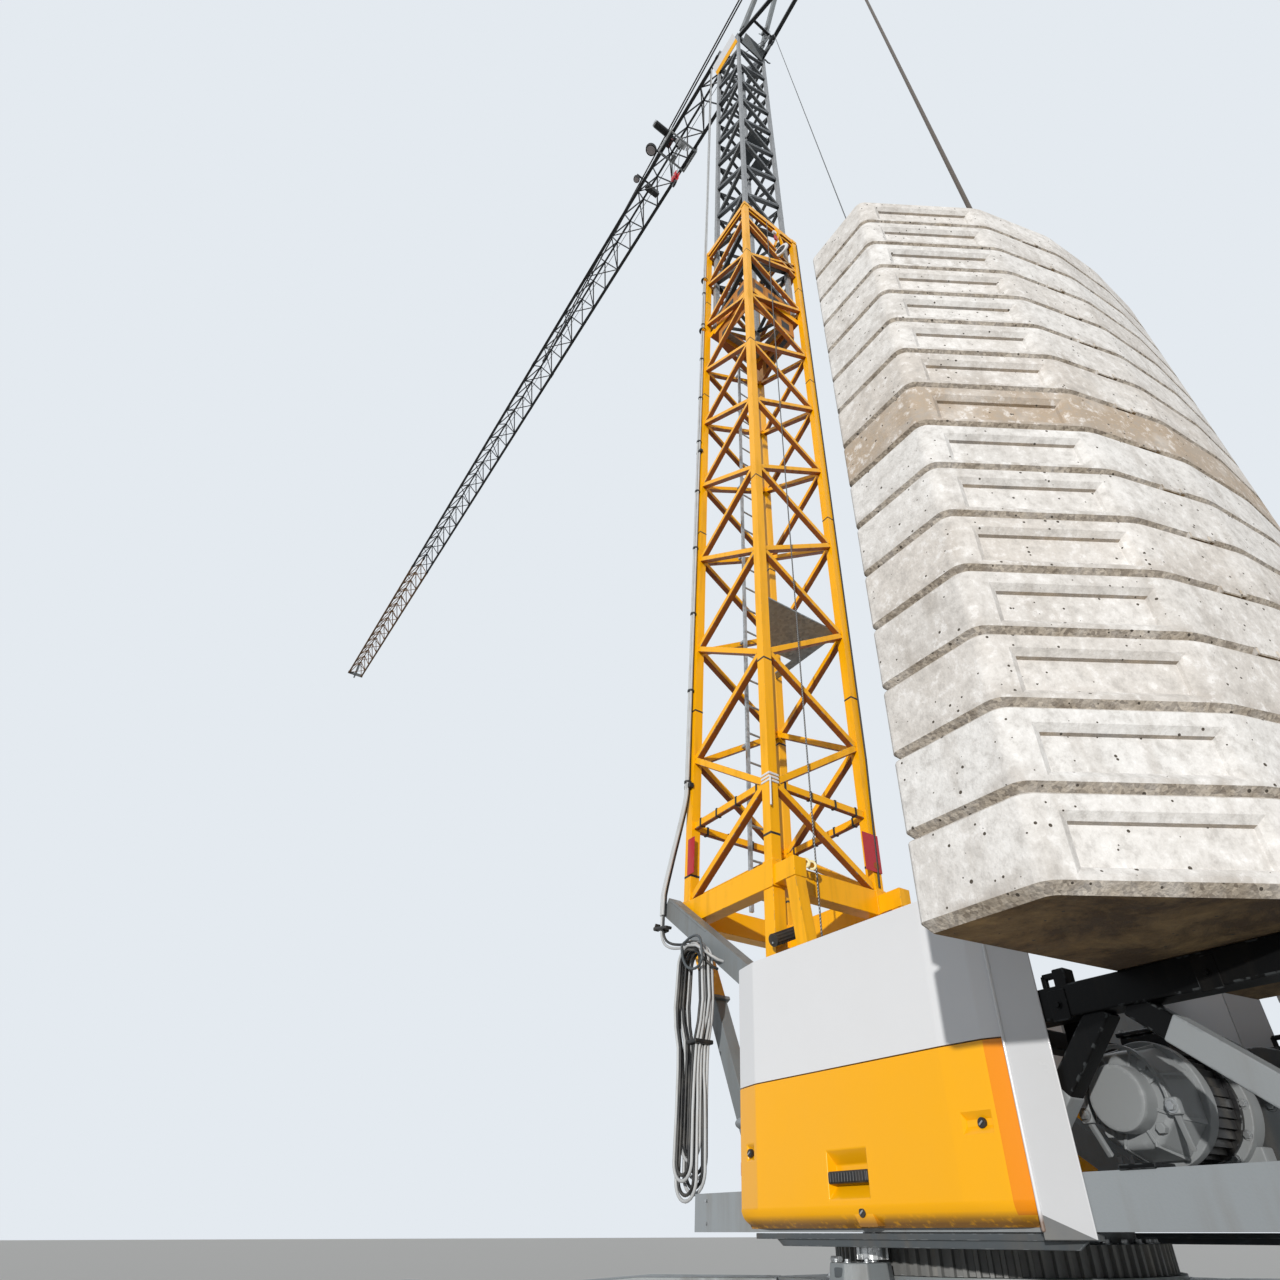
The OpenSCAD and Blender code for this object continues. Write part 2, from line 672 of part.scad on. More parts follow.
module jib_stays() color("#4a4744") both_sides()
    rod([-apex_back + apex_block.x / 2 + 2.5, 16, apex_z - 60],
        jib_point(stay_reach - 33, 16, jib_height + 44), stay_d);

// One welded jib section between two distances from the tower's axis
module jib_section(x0, x1, bays) {
    e = jib_end_gap;
    step = (x1 - x0 - 2 * e) / bays / 2;
    translate([tower_x, 0, jib_z]) rotate(jib_a) {
        both_sides() {
            block([x0, half_gauge - jib_chord_w / 2, -jib_chord_h / 2],
                [x1, half_gauge + jib_chord_w / 2, jib_chord_h / 2]);
            translate([x0 + e, lacing_foot / 2, jib_height / 2])
                rotate([atan2(jib_height, -lacing_foot), 0, 0])
                linear_extrude(height = jib_lacing, center = true)
                polygon([for (p = zigzag(lacing_len / 2, step, 2 * bays, jib_lacing)) [p.y, -p.x]]);
        }
        block([x0, -jib_top_chord / 2, jib_height - jib_top_chord / 2],
            [x1, jib_top_chord / 2, jib_height + jib_top_chord / 2]);
        translate([x0 + e, 0, 0]) linear_extrude(height = jib_lacing, center = true)
            polygon([for (p = zigzag(half_gauge, 2 * step, bays, jib_lacing)) [p.y, -p.x]]);
    }
}

module jib_inner_section() color(black) jib_section(jib_start, jib_joint_1 - seat, bays_1);

module jib_middle_section() color(black) {
    jib_section(jib_joint_1, jib_joint_2 - seat, bays_2);
    translate([tower_x, 0, jib_z]) rotate(jib_a)
        block([stay_reach - 30, -12, jib_height + 10], [stay_reach + 30, 12, jib_height + 60]);
    translate([tower_x, 0, jib_z]) rotate(jib_a)
        block([stay_reach - 30, -28, jib_height + 25], [stay_reach - 10, 28, jib_height + 60]);
}

module jib_outer_section() color("#5a3f22") jib_section(jib_joint_2, jib_end, bays_3);

module jib_tip() color(grey) translate([tower_x, 0, jib_z]) rotate(jib_a) {
    block([jib_end + seat, -half_gauge - 30, -30], [jib_end + 16, half_gauge + 30, 60]);
    block([jib_end + seat, -30, 20], [jib_end + 16, 30, jib_height + 20]);
    translate([jib_end + 30, 0, -sheave_line]) rotate([90, 0, 0])
        cylinder(r = 40, h = 20, center = true, $fn = round_fn);
    for (y = [-20, 10]) block([jib_end + 10, y, -sheave_line - 20], [jib_end + 50, y + 10, 0]);
}

module trolley_winch() color(black) translate([tower_x, 0, jib_z]) rotate(jib_a) {
    x = jib_start + jib_end_gap + 3 * (jib_joint_1 - seat - jib_start - 2 * jib_end_gap) / bays_1;
    block([x - 40, -40, 150], [x + 40, 40, 270]);
    block([x - 20, -8, 260], [x + 20, 8, jib_height - jib_top_chord / 2]);
    cyl_y(x, 240, 30, 30, 175);
    cyl_y(x, 240, 55, 170, 480);
    block([gear_at - 40, -95, jib_lacing / 2], [gear_at + 40, 95, 95]);
    cyl_y(gear_at, 60, 34, -110, 110);
}

// Lamp of radius r under an arm from the top chord
module floodlight(x, y, z, r) {
    block([x - 12, jib_top_chord / 2, jib_height - 12], [x + 12, y + 10, jib_height + 8]);
    block([x - 10, y - 10, z + 29], [x + 10, y + 10, jib_height]);
    translate([x, y, z - 30]) cylinder(r = r, h = 60, $fn = round_fn);
}

module floodlights() color("#33363a") translate([tower_x, 0, jib_z]) rotate(jib_a) {
    floodlight(lamp_1_at, 280, 250, 78);
    floodlight(lamp_2_at, 250, 220, 46);
}

drum_r = drum_flange_r - 45;
drum_rope = [-hoist_back + drum_r + rope_d / 2 + seat, -115, hoist_z];
head_sheave = [184, -112, 11830];
strut_root_z = head_z + 60;
// Height and half spacing of the rear strut's legs at x
function leg_t(x) = (tower_x - inner_half - inner_chord / 2 + 30 - x)
    / (tower_x - inner_half - inner_chord / 2 + 10 + stay_back);
function leg_z(x) = strut_root_z + leg_t(x) * (rear_strut_z - strut_root_z);
function leg_y(x) = inner_half - 10 + leg_t(x) * (34 - inner_half);

module hoist_rope() color("#55585a") {
    rod(drum_rope, head_sheave, rope_d, 8);
    rod(head_sheave + [60 - 60 * 0.7943, 0, 60 * 0.6076],
        root_sheave + (sheave_r + rope_d / 2 + seat) * [-0.7943, 0, 0.6076], rope_d, 8);
    rod(jib_point(jib_start - 50, 0, -rope_drop), jib_point(jib_end - 2, 0, -rope_drop), rope_d, 8);
}

cable_d = 26;
cable_y = outer_half + outer_chord / 2 + cable_d / 2 + seat;

cable_out = [tower_x + outer_half, cable_y, 2076];
cable_low = [tower_x + outer_half + 26, strut_y + 25 + cable_d / 2 + seat, foot_beam_z + 125];

module power_cable() color("#b8bbbd") {
    rod(cable_out, [cable_out.x, cable_out.y, head_z - 60], cable_d, 12);
    rod(cable_low, cable_out, cable_d, 12);
    rod(cable_low - [0, 0, 95], cable_low, cable_d, 12);
}

hank_x = 713;
hank_top = platform_z + 760;
hank_len = 700;
hank_w = 190;
hank_t = 56;

module cable_hank() color("#a0a3a5") translate([hank_x, strut_y + 25 + seat + hank_t / 2, hank_top])
    rotate([90, 0, 0]) linear_extrude(height = hank_t, center = true) {
        for (z = [-hank_w / 2, -hank_len + hank_w / 2]) translate([0, z]) circle(d = hank_w, $fn = round_fn);
        translate([-hank_w / 2, -hank_len + hank_w / 2]) square([hank_w, hank_len - hank_w]);
    }

module trolley() color(grey) translate([tower_x, 0, jib_z]) rotate(jib_a) translate([trolley_at, 0, 0]) {
    l = trolley_len / 2;
    axle_z = jib_chord_h / 2 + wheel_r + seat;
    both_sides() {
        block([-l, trolley_side, -sheave_line - 20], [l, trolley_side + 12, axle_z + 16]);
        for (x = [-l + 50, l - 50]) {
            cyl_y(x, axle_z, wheel_r, half_gauge, half_gauge + 18);
            cyl_y(x, axle_z, 8, half_gauge, trolley_side + 1);
        }
    }
    for (x = [-l, l - 20]) block([x, -trolley_side - 1, -sheave_line - 15],
        [x + 20, trolley_side + 1, -sheave_line + 15]);
    for (x = [-fall_sheave_x, fall_sheave_x]) {
        cyl_y(x, -sheave_line, sheave_r, -12, 12);
        cyl_y(x, -sheave_line, 12, -26, 26);
    }
    for (s = [-1, 1]) block([-l + 1, s * 24 - 5, -sheave_line - 25], [l - 1, s * 24 + 5, -sheave_line + 30]);
}

module hook_falls() color("#55585a") for (x = [-fall_x, fall_x])
    rod([hook_x + x, 0, hook_z], [hook_x + x, 0, trolley_z - sheave_line], rope_d, 8);

module hook_block() color("#c0202a") translate([hook_x, 0, hook_z]) {
    for (s = [-1, 1]) translate([0, s * 22, 0]) rotate([90, 0, 0]) linear_extrude(height = 10, center = true)
        polygon([[-70, 40], [-40, 80], [40, 80], [70, 40], [60, -60], [30, -120], [-30, -120], [-60, -60]]);
    cyl_y(0, 0, hook_sheave_r, -16.5, 16.5);
    cyl_y(0, 0, 16, -30, 30);
    block([-28, -18, -118], [28, 18, -70]);
    translate([0, 0, -160]) cylinder(d = 30, h = 60, $fn = 24);
    translate([0, 12, -215]) rotate([90, 0, 0]) difference() {
        cylinder(r = 62, h = 24, $fn = round_fn);
        translate([0, 0, -1]) cylinder(r = 34, h = 26, $fn = round_fn);
        translate([-80, 0, -1]) cube([62, 80, 26]);
    }
}

undercarriage_frame();
outrigger_arms();
support_feet();
slewing_ring();
platform_frame();
ballast_carrier();
ballast_blocks_odd();
ballast_blocks_even();
cover_lower_left();
cover_upper_left();
cover_end_left();
cover_lower_right();
cover_upper_right();
cover_end_right();
switch_cabinets();
slewing_drive();
hoist_motor();
hoist_drum();
tower_foot();
foot_struts();
outer_tower_chords();
outer_tower_left();
outer_tower_right();
outer_tower_front();
outer_tower_rear();
inner_tower_chords();
inner_tower_left();
inner_tower_right();
inner_tower_front();
inner_tower_rear();
ladder();
rest_platform();
tower_head();
guy_frame();
rear_strut();
rear_stay();
jib_stays();
jib_inner_section();
jib_middle_section();
jib_outer_section();
jib_tip();
trolley_winch();
floodlights();
hoist_rope();
power_cable();
cable_hank();
trolley();
hook_falls();
hook_block();
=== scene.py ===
import math
import random

import bmesh
import bpy
from mathutils import Matrix, Vector


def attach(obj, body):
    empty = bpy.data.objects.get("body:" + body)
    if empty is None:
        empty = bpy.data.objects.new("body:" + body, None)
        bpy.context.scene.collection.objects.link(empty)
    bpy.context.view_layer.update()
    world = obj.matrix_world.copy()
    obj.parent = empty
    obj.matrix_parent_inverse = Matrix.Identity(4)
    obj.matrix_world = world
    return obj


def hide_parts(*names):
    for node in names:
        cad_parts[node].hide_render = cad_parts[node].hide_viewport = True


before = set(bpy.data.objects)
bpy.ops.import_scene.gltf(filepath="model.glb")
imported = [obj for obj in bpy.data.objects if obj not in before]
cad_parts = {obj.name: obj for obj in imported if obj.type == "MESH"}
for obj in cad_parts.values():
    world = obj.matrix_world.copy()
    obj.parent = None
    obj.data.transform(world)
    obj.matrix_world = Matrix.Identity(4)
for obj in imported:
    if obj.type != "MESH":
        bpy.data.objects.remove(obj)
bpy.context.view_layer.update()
scene = bpy.context.scene


# ---- The view: from behind the crane's left rear corner, near the ground, looking up along the tower.
# The camera's place, tilt and lens are the photograph's, found from the tower's vanishing lines.
camera = bpy.data.objects.new("camera", bpy.data.cameras.new("camera"))
camera.data.lens, camera.data.sensor_width = 20.85, 36.0
camera.data.shift_x = -0.0652
camera.data.clip_end = 400.0
camera.location = (-1.3965, 1.802, 0.640)
camera.rotation_euler = [math.radians(a) for a in (128.62, 0.0, -126.33)]
scene.collection.objects.link(camera)
scene.camera = camera
scene.view_settings.view_transform = "Standard"


def srgb(code):
    """Linear colour of an sRGB hex value."""
    parts = [int(code[i:i + 2], 16) / 255 for i in (1, 3, 5)]
    return (*[c / 12.92 if c <= 0.04045 else ((c + 0.055) / 1.055) ** 2.4 for c in parts], 1.0)


def plug(tree, node, sockets):
    """Links or sets the sockets of a shader node."""
    for name, value in sockets.items():
        if isinstance(value, bpy.types.NodeSocket):
            tree.links.new(value, node.inputs[name])
        else:
            node.inputs[name].default_value = value


def add(tree, kind, sockets=None, **settings):
    """Adds one shader node, with its settings and what its sockets take."""
    made = tree.nodes.new("ShaderNode" + kind)
    for name, value in settings.items():
        setattr(made, name, value)
    plug(tree, made, sockets or {})
    return made


# ---- Daylight: a low sun behind and to the left of the camera and a pale sky all round. The pale sky
# is what the camera, gloss and glass see, and the object itself is lit at a plain level.
sun = bpy.data.objects.new("sun", bpy.data.lights.new("sun", "SUN"))
sun.data.energy = 2.95
sun.data.angle = math.radians(1.2)
sun.data.color = (1.0, 0.97, 0.93)
sun.rotation_euler = Vector((-0.78, 1.0, 0.215)).to_track_quat("Z", "Y").to_euler()
scene.collection.objects.link(sun)

world = bpy.data.worlds.new("pale_sky")
scene.world = world
world.use_nodes = True
sky = world.node_tree
sky.nodes.clear()
rays = add(sky, "LightPath")
seen = add(sky, "Math", {0: rays.outputs["Is Camera Ray"], 1: rays.outputs["Is Glossy Ray"]}, operation="MAXIMUM")
seen = add(sky, "Math", {0: seen.outputs[0], 1: rays.outputs["Is Transmission Ray"]}, operation="MAXIMUM")
fill = add(sky, "Background", {"Color": srgb("#e2e8f0"), "Strength": 0.43})
backdrop = add(sky, "Background", {"Color": srgb("#e4eaf0"), "Strength": 1.0})
either = add(sky, "MixShader", {0: seen.outputs[0], 1: fill.outputs[0], 2: backdrop.outputs[0]})
add(sky, "OutputWorld", {"Surface": either.outputs[0]})

ground_paint = bpy.data.materials.new("pale_ground")
ground_paint.use_nodes = True
ground_paint.node_tree.nodes["Principled BSDF"].inputs["Base Color"].default_value = srgb("#d2d0cb")
ground_paint.node_tree.nodes["Principled BSDF"].inputs["Roughness"].default_value = 0.9
bm = bmesh.new()
bmesh.ops.create_grid(bm, x_segments=1, y_segments=1, size=120.0)
ground = bpy.data.meshes.new("ground")
bm.to_mesh(ground)
bm.free()
ground.materials.append(ground_paint)
ground = bpy.data.objects.new("ground", ground)
scene.collection.objects.link(ground)


# ---- Cables of the control and supply: PVC and rubber sheaths, extruded, dull and dusty. Three run in
# one bundle down the tower's front left chord, and their spare length hangs in a hank on the left strut.
def material(name):
    """A new material with its node tree, its shader and the object's own coordinates."""
    mat = bpy.data.materials.new(name)
    mat.use_nodes = True
    tree = mat.node_tree
    return mat, tree, tree.nodes["Principled BSDF"], add(tree, "TexCoord").outputs["Object"]


def noise(tree, place, scale, detail, rough=0.5):
    """A cloudy pattern from 0 to 1."""
    return add(tree, "TexNoise", {"Vector": place, "Scale": scale, "Detail": detail, "Roughness": rough}).outputs["Fac"]


def ranged(tree, value, low, high, most=1.0):
    """A value stretched from between low and high to between 0 and most."""
    return add(tree, "MapRange", {"Value": value, "From Min": low, "From Max": high, "To Max": most}).outputs[0]


def blend(tree, share, first, second):
    """Two colours mixed, the share being that of the second."""
    return add(tree, "Mix", {0: share, 6: first, 7: second}, data_type="RGBA").outputs[2]


def maths(tree, kind, *values):
    """One step of arithmetic on values of the material."""
    return add(tree, "Math", dict(enumerate(values)), operation=kind).outputs[0]


def sheath(name, colour, rough):
    """Extruded cable sheath: a dull skin with dust and slight shade changes along it."""
    mat, tree, shader, place = material(name)
    dust = noise(tree, place, 14.0, 4.0)
    dust = ranged(tree, dust, 0.45, 0.75, 0.35)
    colour = blend(tree, dust, srgb(colour), srgb("#8e8a82"))
    plug(tree, shader, {"Base Color": colour, "Roughness": rough})
    return mat


grey_sheath = sheath("grey_pvc_sheath", "#b9bcbe", 0.45)
black_sheath = sheath("black_rubber_sheath", "#1d1f21", 0.5)


def smooth_path(points, steps=6):
    """Points on a smooth curve through the given ones."""
    p = [Vector(points[0]) * 2 - Vector(points[1])] + [Vector(q) for q in points]
    p.append(p[-1] * 2 - p[-2])
    out = []
    for i in range(1, len(p) - 2):
        for k in range(steps):
            t = k / steps
            a, b, c, d = p[i - 1:i + 3]
            out.append(0.5 * (2 * b + (c - a) * t + (2 * a - 5 * b + 4 * c - d) * t * t
                              + (3 * b - a - 3 * c + d) * t ** 3))
    return out + [p[-2]]


def cable(name, routes, thick, finishes, body="platform", sides=3):
    """A curve piece with one round cable along each route."""
    data = bpy.data.curves.new(name, "CURVE")
    data.dimensions = "3D"
    data.bevel_depth = thick / 2
    data.bevel_resolution = sides
    data.use_fill_caps = True
    for finish in finishes:
        data.materials.append(finish)
    for number, route in enumerate(routes):
        line = data.splines.new("POLY")
        line.points.add(len(route) - 1)
        for point, place in zip(line.points, route):
            point.co = (*place, 1.0)
        line.use_smooth = True
        line.material_index = number % len(finishes)
    obj = bpy.data.objects.new(name, data)
    scene.collection.objects.link(obj)
    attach(obj, body)
    return obj


CABLE_D = 0.009  # a cable of the hank
BUNDLE_R = 0.013  # the bundle on the tower
HANK_X, HANK_HIGH, HANK_Y = 0.713, 1.318, 0.3356 + CABLE_D / 2
cable_end = Vector((0.9545, 0.3483, 1.545))


def along(values, turn):
    """The value at a turn that may be a fraction."""
    k = min(int(turn), len(values) - 2)
    return values[k] + (values[k + 1] - values[k]) * (turn - k)


def hank_turns(inset, lead, tail):
    """A cable's path: its lead, its hanging loops one in front of the other, and its tail. A loop starts at
    its top, where the lead runs into it. It fans out below the hook, is drawn in by the tie and hangs
    free at its end, and the inset is what keeps one cable within the loops of the other."""
    wide = [0.072, 0.066, 0.084, 0.068, 0.078, 0.070]
    waist = [0.050, 0.036, 0.044, 0.038, 0.047, 0.040]
    foot = [0.045, 0.056, 0.042, 0.050, 0.043, 0.046]
    lean = [0.012, -0.012, 0.006, -0.004, 0.014, 0.0]
    low = [0.806, 0.770, 0.842, 0.752, 0.795, 0.795]
    path = [Vector(p) for p in lead]
    for turn in range(5):
        for k in range(48):
            u = turn + k / 48
            top, mid, end, shift = along(wide, u), along(waist, u), along(foot, u), along(lean, u)
            base = low[turn]
            round_top = top * 0.86
            if k < 9 or k >= 39:
                a = math.pi / 2 * (1 + k / 9) if k < 9 else math.pi / 2 * (k - 39) / 9
                x, z = (round_top - inset) * math.cos(a), HANK_HIGH + (round_top - inset) * math.sin(a)
            elif 18 <= k < 30:
                a = math.pi * (1 + (k - 18) / 12)
                x, z = shift + (end - inset) * math.cos(a), base + (end - inset) * math.sin(a)
            else:
                share = (k - 9) / 9 if k < 18 else (39 - k) / 9
                side = -1 if k < 18 else 1
                spots = (round_top, top, mid, end * 0.94, end)
                place = share * 4
                i = min(int(place), 3)
                f = place - i
                f = f * f * (3 - 2 * f)
                x = side * (spots[i] + (spots[i + 1] - spots[i]) * f - inset) + shift * share ** 1.5
                z = HANK_HIGH + (base - HANK_HIGH) * share
            path.append(Vector((HANK_X + x, HANK_Y + 0.0106 * u, z)))
    return path + [Vector(p) for p in tail]


lead_in = smooth_path([cable_end + Vector((0.0055, 0, 0)), (0.960, 0.3485, 1.512), (0.9545, 0.349, 1.472),
                       (0.930, 0.349, 1.439), (0.890, 0.347, 1.418), (0.845, 0.3445, 1.4075),
                       (0.795, 0.3425, 1.399), (0.750, 0.341, 1.390)], 3)[:-1]
grey_path = hank_turns(0.0, lead_in,
                       [(HANK_X, 0.3935, 1.378), (HANK_X - 0.045, 0.3930, 1.368), (HANK_X - 0.080, 0.3870, 1.346),
                        (HANK_X - 0.102, 0.3730, 1.326), (HANK_X - 0.112, 0.3550, 1.315),
                        (HANK_X - 0.114, 0.3360, 1.312)])
black_lead = smooth_path([cable_end - Vector((0.0055, 0, 0)), (0.9480, 0.3485, 1.512), (0.9420, 0.349, 1.478),
                          (0.9215, 0.349, 1.450), (0.885, 0.347, 1.4305), (0.842, 0.3445, 1.4185),
                          (0.800, 0.3505, 1.4080), (0.768, 0.3520, 1.3930), (0.738, 0.3460, 1.3740)], 3)[:-1]
black_path = hank_turns(0.0135, black_lead,
                        [(HANK_X, 0.3935, 1.3645), (HANK_X - 0.038, 0.3925, 1.354), (HANK_X - 0.064, 0.3850, 1.332),
                         (HANK_X - 0.078, 0.3700, 1.312), (HANK_X - 0.084, 0.3530, 1.299),
                         (HANK_X - 0.085, 0.3360, 1.295)])


hank_grey = cable("cable_hank_grey", [grey_path], CABLE_D, [grey_sheath])
hank_black = cable("cable_hank_black", [black_path], CABLE_D, [black_sheath])
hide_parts("cable_hank")

bundle = []
for turn in (0.0, 2.1, 4.2):
    route = []
    for place in ((0.9285, 0.2763, 11.94), (0.9285, 0.2763, 9.0), (0.9285, 0.2763, 6.0), (0.9285, 0.2763, 4.0),
                  (0.9285, 0.2763, 3.0), (0.9285, 0.2763, 2.25), (0.9285, 0.2770, 2.10), (0.9300, 0.2830, 2.00),
                  (0.9450, 0.3260, 1.76), (0.9535, 0.3460, 1.64), (0.9545, 0.3483, 1.60), (0.9545, 0.3483, 1.547)):
        z = place[2]
        route.append((place[0] + 0.0072 * math.cos(turn + z * 0.25), place[1] + 0.0072 * math.sin(turn + z * 0.25), z))
    bundle.append(smooth_path(route, 6))
power = cable("power_cable_bundle", bundle, 0.0115, [grey_sheath, grey_sheath, black_sheath])
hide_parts("power_cable")


# ---- Undercarriage: a welded box frame of steel plate that carries the slewing ring, painted grey and
# worn by mud and feet. Its edges are rounded by grinding and paint, and its plates are bolted and welded.
def painted_steel(name, paint, rough=0.4, dust=0.3, chips=0.5, grime="#6b6256", bare="#7c8184", grain=1.0):
    """Two-pack paint sprayed on steel: faint orange peel, dust in broad clouds, rain runs down the
    faces and the paint chipped off along edges."""
    mat, tree, shader, place = material(name)
    broad = noise(tree, place, 2.4, 5.0, 0.62)
    drawn = add(tree, "Mapping", {"Vector": place, "Scale": (1.0, 1.0, 0.09)}).outputs[0]
    runs = noise(tree, drawn, 34.0, 4.0)
    soil = maths(tree, "MULTIPLY", broad, runs)
    soil = add(tree, "MapRange", {"Value": soil, "From Min": 0.20, "From Max": 0.42, "To Max": dust},
               interpolation_type="SMOOTHSTEP").outputs[0]
    shade = blend(tree, soil, srgb(paint), srgb(grime))
    flecks = noise(tree, place, 55.0 * grain, 3.0)
    flecks = ranged(tree, flecks, 0.54, 0.60)
    edge = add(tree, "Attribute", attribute_name="edge").outputs["Fac"]
    chip = maths(tree, "MULTIPLY", flecks, edge)
    chip = maths(tree, "MULTIPLY", chip, chips)
    colour = blend(tree, chip, shade, srgb(bare))
    dull = maths(tree, "MULTIPLY_ADD", soil, 0.6, rough)
    peel = noise(tree, place, 260.0, 1.0)
    high = maths(tree, "MULTIPLY_ADD", chip, -1.5, peel)
    bump = add(tree, "Bump", {"Height": high, "Strength": 0.12, "Distance": 0.0015}).outputs[0]
    plug(tree, shader, {"Base Color": colour, "Roughness": dull, "Normal": bump})
    return mat


def galvanised(name, tone, rough=0.45):
    """Hot-dip zinc: a dull spangle of crystals a centimetre or two across, greyed by weather."""
    mat, tree, shader, place = material(name)
    cells = add(tree, "TexVoronoi", {"Vector": place, "Scale": 75.0})
    spangle = add(tree, "SeparateColor", {0: cells.outputs["Color"]}).outputs[0]
    cloud = noise(tree, place, 5.0, 5.0)
    mixed = maths(tree, "MULTIPLY", spangle, cloud)
    colour = blend(tree, mixed, srgb(tone), srgb("#6e7376"))
    dull = add(tree, "MapRange", {"Value": mixed, "To Min": rough, "To Max": rough + 0.2}).outputs[0]
    plug(tree, shader, {"Base Color": colour, "Roughness": dull, "Metallic": 0.75})
    return mat


grey_paint = painted_steel("grey_frame_paint", "#777d80", 0.42, 0.34, 0.6)
# A paler copy of the frame's grey for the side beams: painted sunlight.
pale_grey_and_painted_sunlight_paint = painted_steel("pale_grey_paint_with_painted_sunlight", "#8f9599", 0.40, 0.34, 0.6, "#77726a")
dark_grey_paint = painted_steel("dark_grey_paint", "#4a5054", 0.4, 0.35, 0.5)
black_paint = painted_steel("black_satin_paint", "#1c1e20", 0.38, 0.22, 0.45, "#4d463d", "#55595b")
zinc_bolt = galvanised("zinc_plated_bolts", "#c3c6c8", 0.32)
weathered_zinc = galvanised("weathered_galvanised_steel", "#a3a8aa", 0.42)


def box(low, high):
    """Place of a unit cube between two corners."""
    low, high = Vector(low), Vector(high)
    return Matrix.LocRotScale((low + high) / 2, None, high - low)


def turned(at, turn, *sizes):
    """Place of a unit cube of the given sizes, turned about its middle."""
    return Matrix.Translation(at) @ turn @ Matrix.Diagonal((*sizes, 1))


def beam(a, b, wide, high):
    """Place of a unit cube, or a cone 1 long, that runs from a to b, wide across and high upright."""
    a, b = Vector(a), Vector(b)
    run = b - a
    turn = (Matrix.Rotation(math.atan2(run.y, run.x), 4, "Z")
            @ Matrix.Rotation(math.acos(max(-1.0, min(1.0, run.z / run.length))), 4, "Y"))
    return turned((a + b) / 2, turn, high, wide, run.length)


def bevel(bm, edges, width, segments, worn=1.0):
    """Bevels edges and marks the new faces by how much they are worn."""
    layer = bm.faces.layers.float.get("edge")
    made = bmesh.ops.bevel(bm, geom=edges, offset=width, offset_type="OFFSET", affect="EDGES",
                           segments=segments, profile=0.5, material=-1, clamp_overlap=True)
    for face in made["faces"]:
        face[layer] = worn


def round_edges(bm, edges, width, segments=2, angle=32):
    """Bevels the sharp ones of the edges, where paint wears first."""
    sharp = [e for e in edges if len(e.link_faces) == 2 and e.calc_face_angle() > math.radians(angle)]
    bevel(bm, sharp, width, segments)


def fresh():
    """An empty mesh whose faces can be marked as worn edges."""
    bm = bmesh.new()
    bm.faces.layers.float.new("edge")
    return bm


def dress(bm, verts, finish, soft, segments=2, angle=32):
    """Gives a new form its finish and its rounded edges."""
    for face in {f for v in verts for f in v.link_faces}:
        face.material_index = finish
    if soft:
        round_edges(bm, {e for v in verts for e in v.link_edges}, soft, segments, angle)


def cube(bm, place, finish=0, soft=0.0, segments=2):
    """A block, plate or bar with rounded edges."""
    dress(bm, bmesh.ops.create_cube(bm, size=1.0, matrix=place)["verts"], finish, soft, segments)


def disc(bm, a, b, radius, finish=0, soft=0.0, sides=40):
    """A turned part from a to b with rounded rims."""
    made = bmesh.ops.create_cone(bm, cap_ends=True, segments=sides, radius1=radius, radius2=radius, depth=1.0,
                                 matrix=beam(a, b, 1.0, 1.0))["verts"]
    dress(bm, made, finish, soft, 2, 50)


def bolt(bm, seat, way, size, finish=0):
    """A hexagon bolt head on its washer, of the given width over the head."""
    seat, way = Vector(seat), Vector(way).normalized()
    disc(bm, seat, seat + way * size * 0.12, size * 0.72, finish, sides=12)
    disc(bm, seat + way * size * 0.12, seat + way * size * 0.55, size * 0.5, finish, size * 0.05, sides=6)


def carry(node, soft, segments=2, angle=32):
    """A CAD node's own shape as an editable mesh, its flat faces joined and its edges rounded."""
    bm = fresh()
    bm.from_mesh(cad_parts[node].data)
    bmesh.ops.remove_doubles(bm, verts=bm.verts, dist=0.00005)
    bmesh.ops.dissolve_limit(bm, angle_limit=math.radians(1.0), verts=bm.verts, edges=bm.edges,
                             use_dissolve_boundaries=False)
    for face in bm.faces:
        face.material_index = 0
    round_edges(bm, bm.edges, soft, segments, angle)
    return bm


def piece(name, bm, finishes, body="platform", stands_for=(), smooth=34):
    """Makes a finished piece of the mesh, with its finishes, on its body."""
    mesh = bpy.data.meshes.new(name)
    bm.to_mesh(mesh)
    bm.free()
    for finish in finishes:
        mesh.materials.append(finish)
    mesh.shade_smooth()
    mesh.set_sharp_from_angle(angle=math.radians(smooth))
    obj = bpy.data.objects.new(name, mesh)
    scene.collection.objects.link(obj)
    obj.modifiers.new("even_shading", "WEIGHTED_NORMAL").keep_sharp = True
    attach(obj, body)
    if stands_for:
        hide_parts(*stands_for)
    return obj


UNDER = "undercarriage"
bm = carry("undercarriage_frame", 0.004)
for side in range(4):
    turn = Matrix.Rotation(math.radians(90 * side), 3, "Z")
    for y in (-0.15, 0.15):
        cube(bm, turn.to_4x4() @ box((0.379, y - 0.006, 0.33), (0.400, y + 0.006, 0.55)), 0, 0.003)
    for y in (-0.22, -0.07, 0.07, 0.22):
        bolt(bm, turn @ Vector((0.38, y, 0.345)), turn @ Vector((1, 0, 0)), 0.022, 1)
piece("undercarriage_box", bm, [grey_paint, zinc_bolt], UNDER, ["undercarriage_frame"])


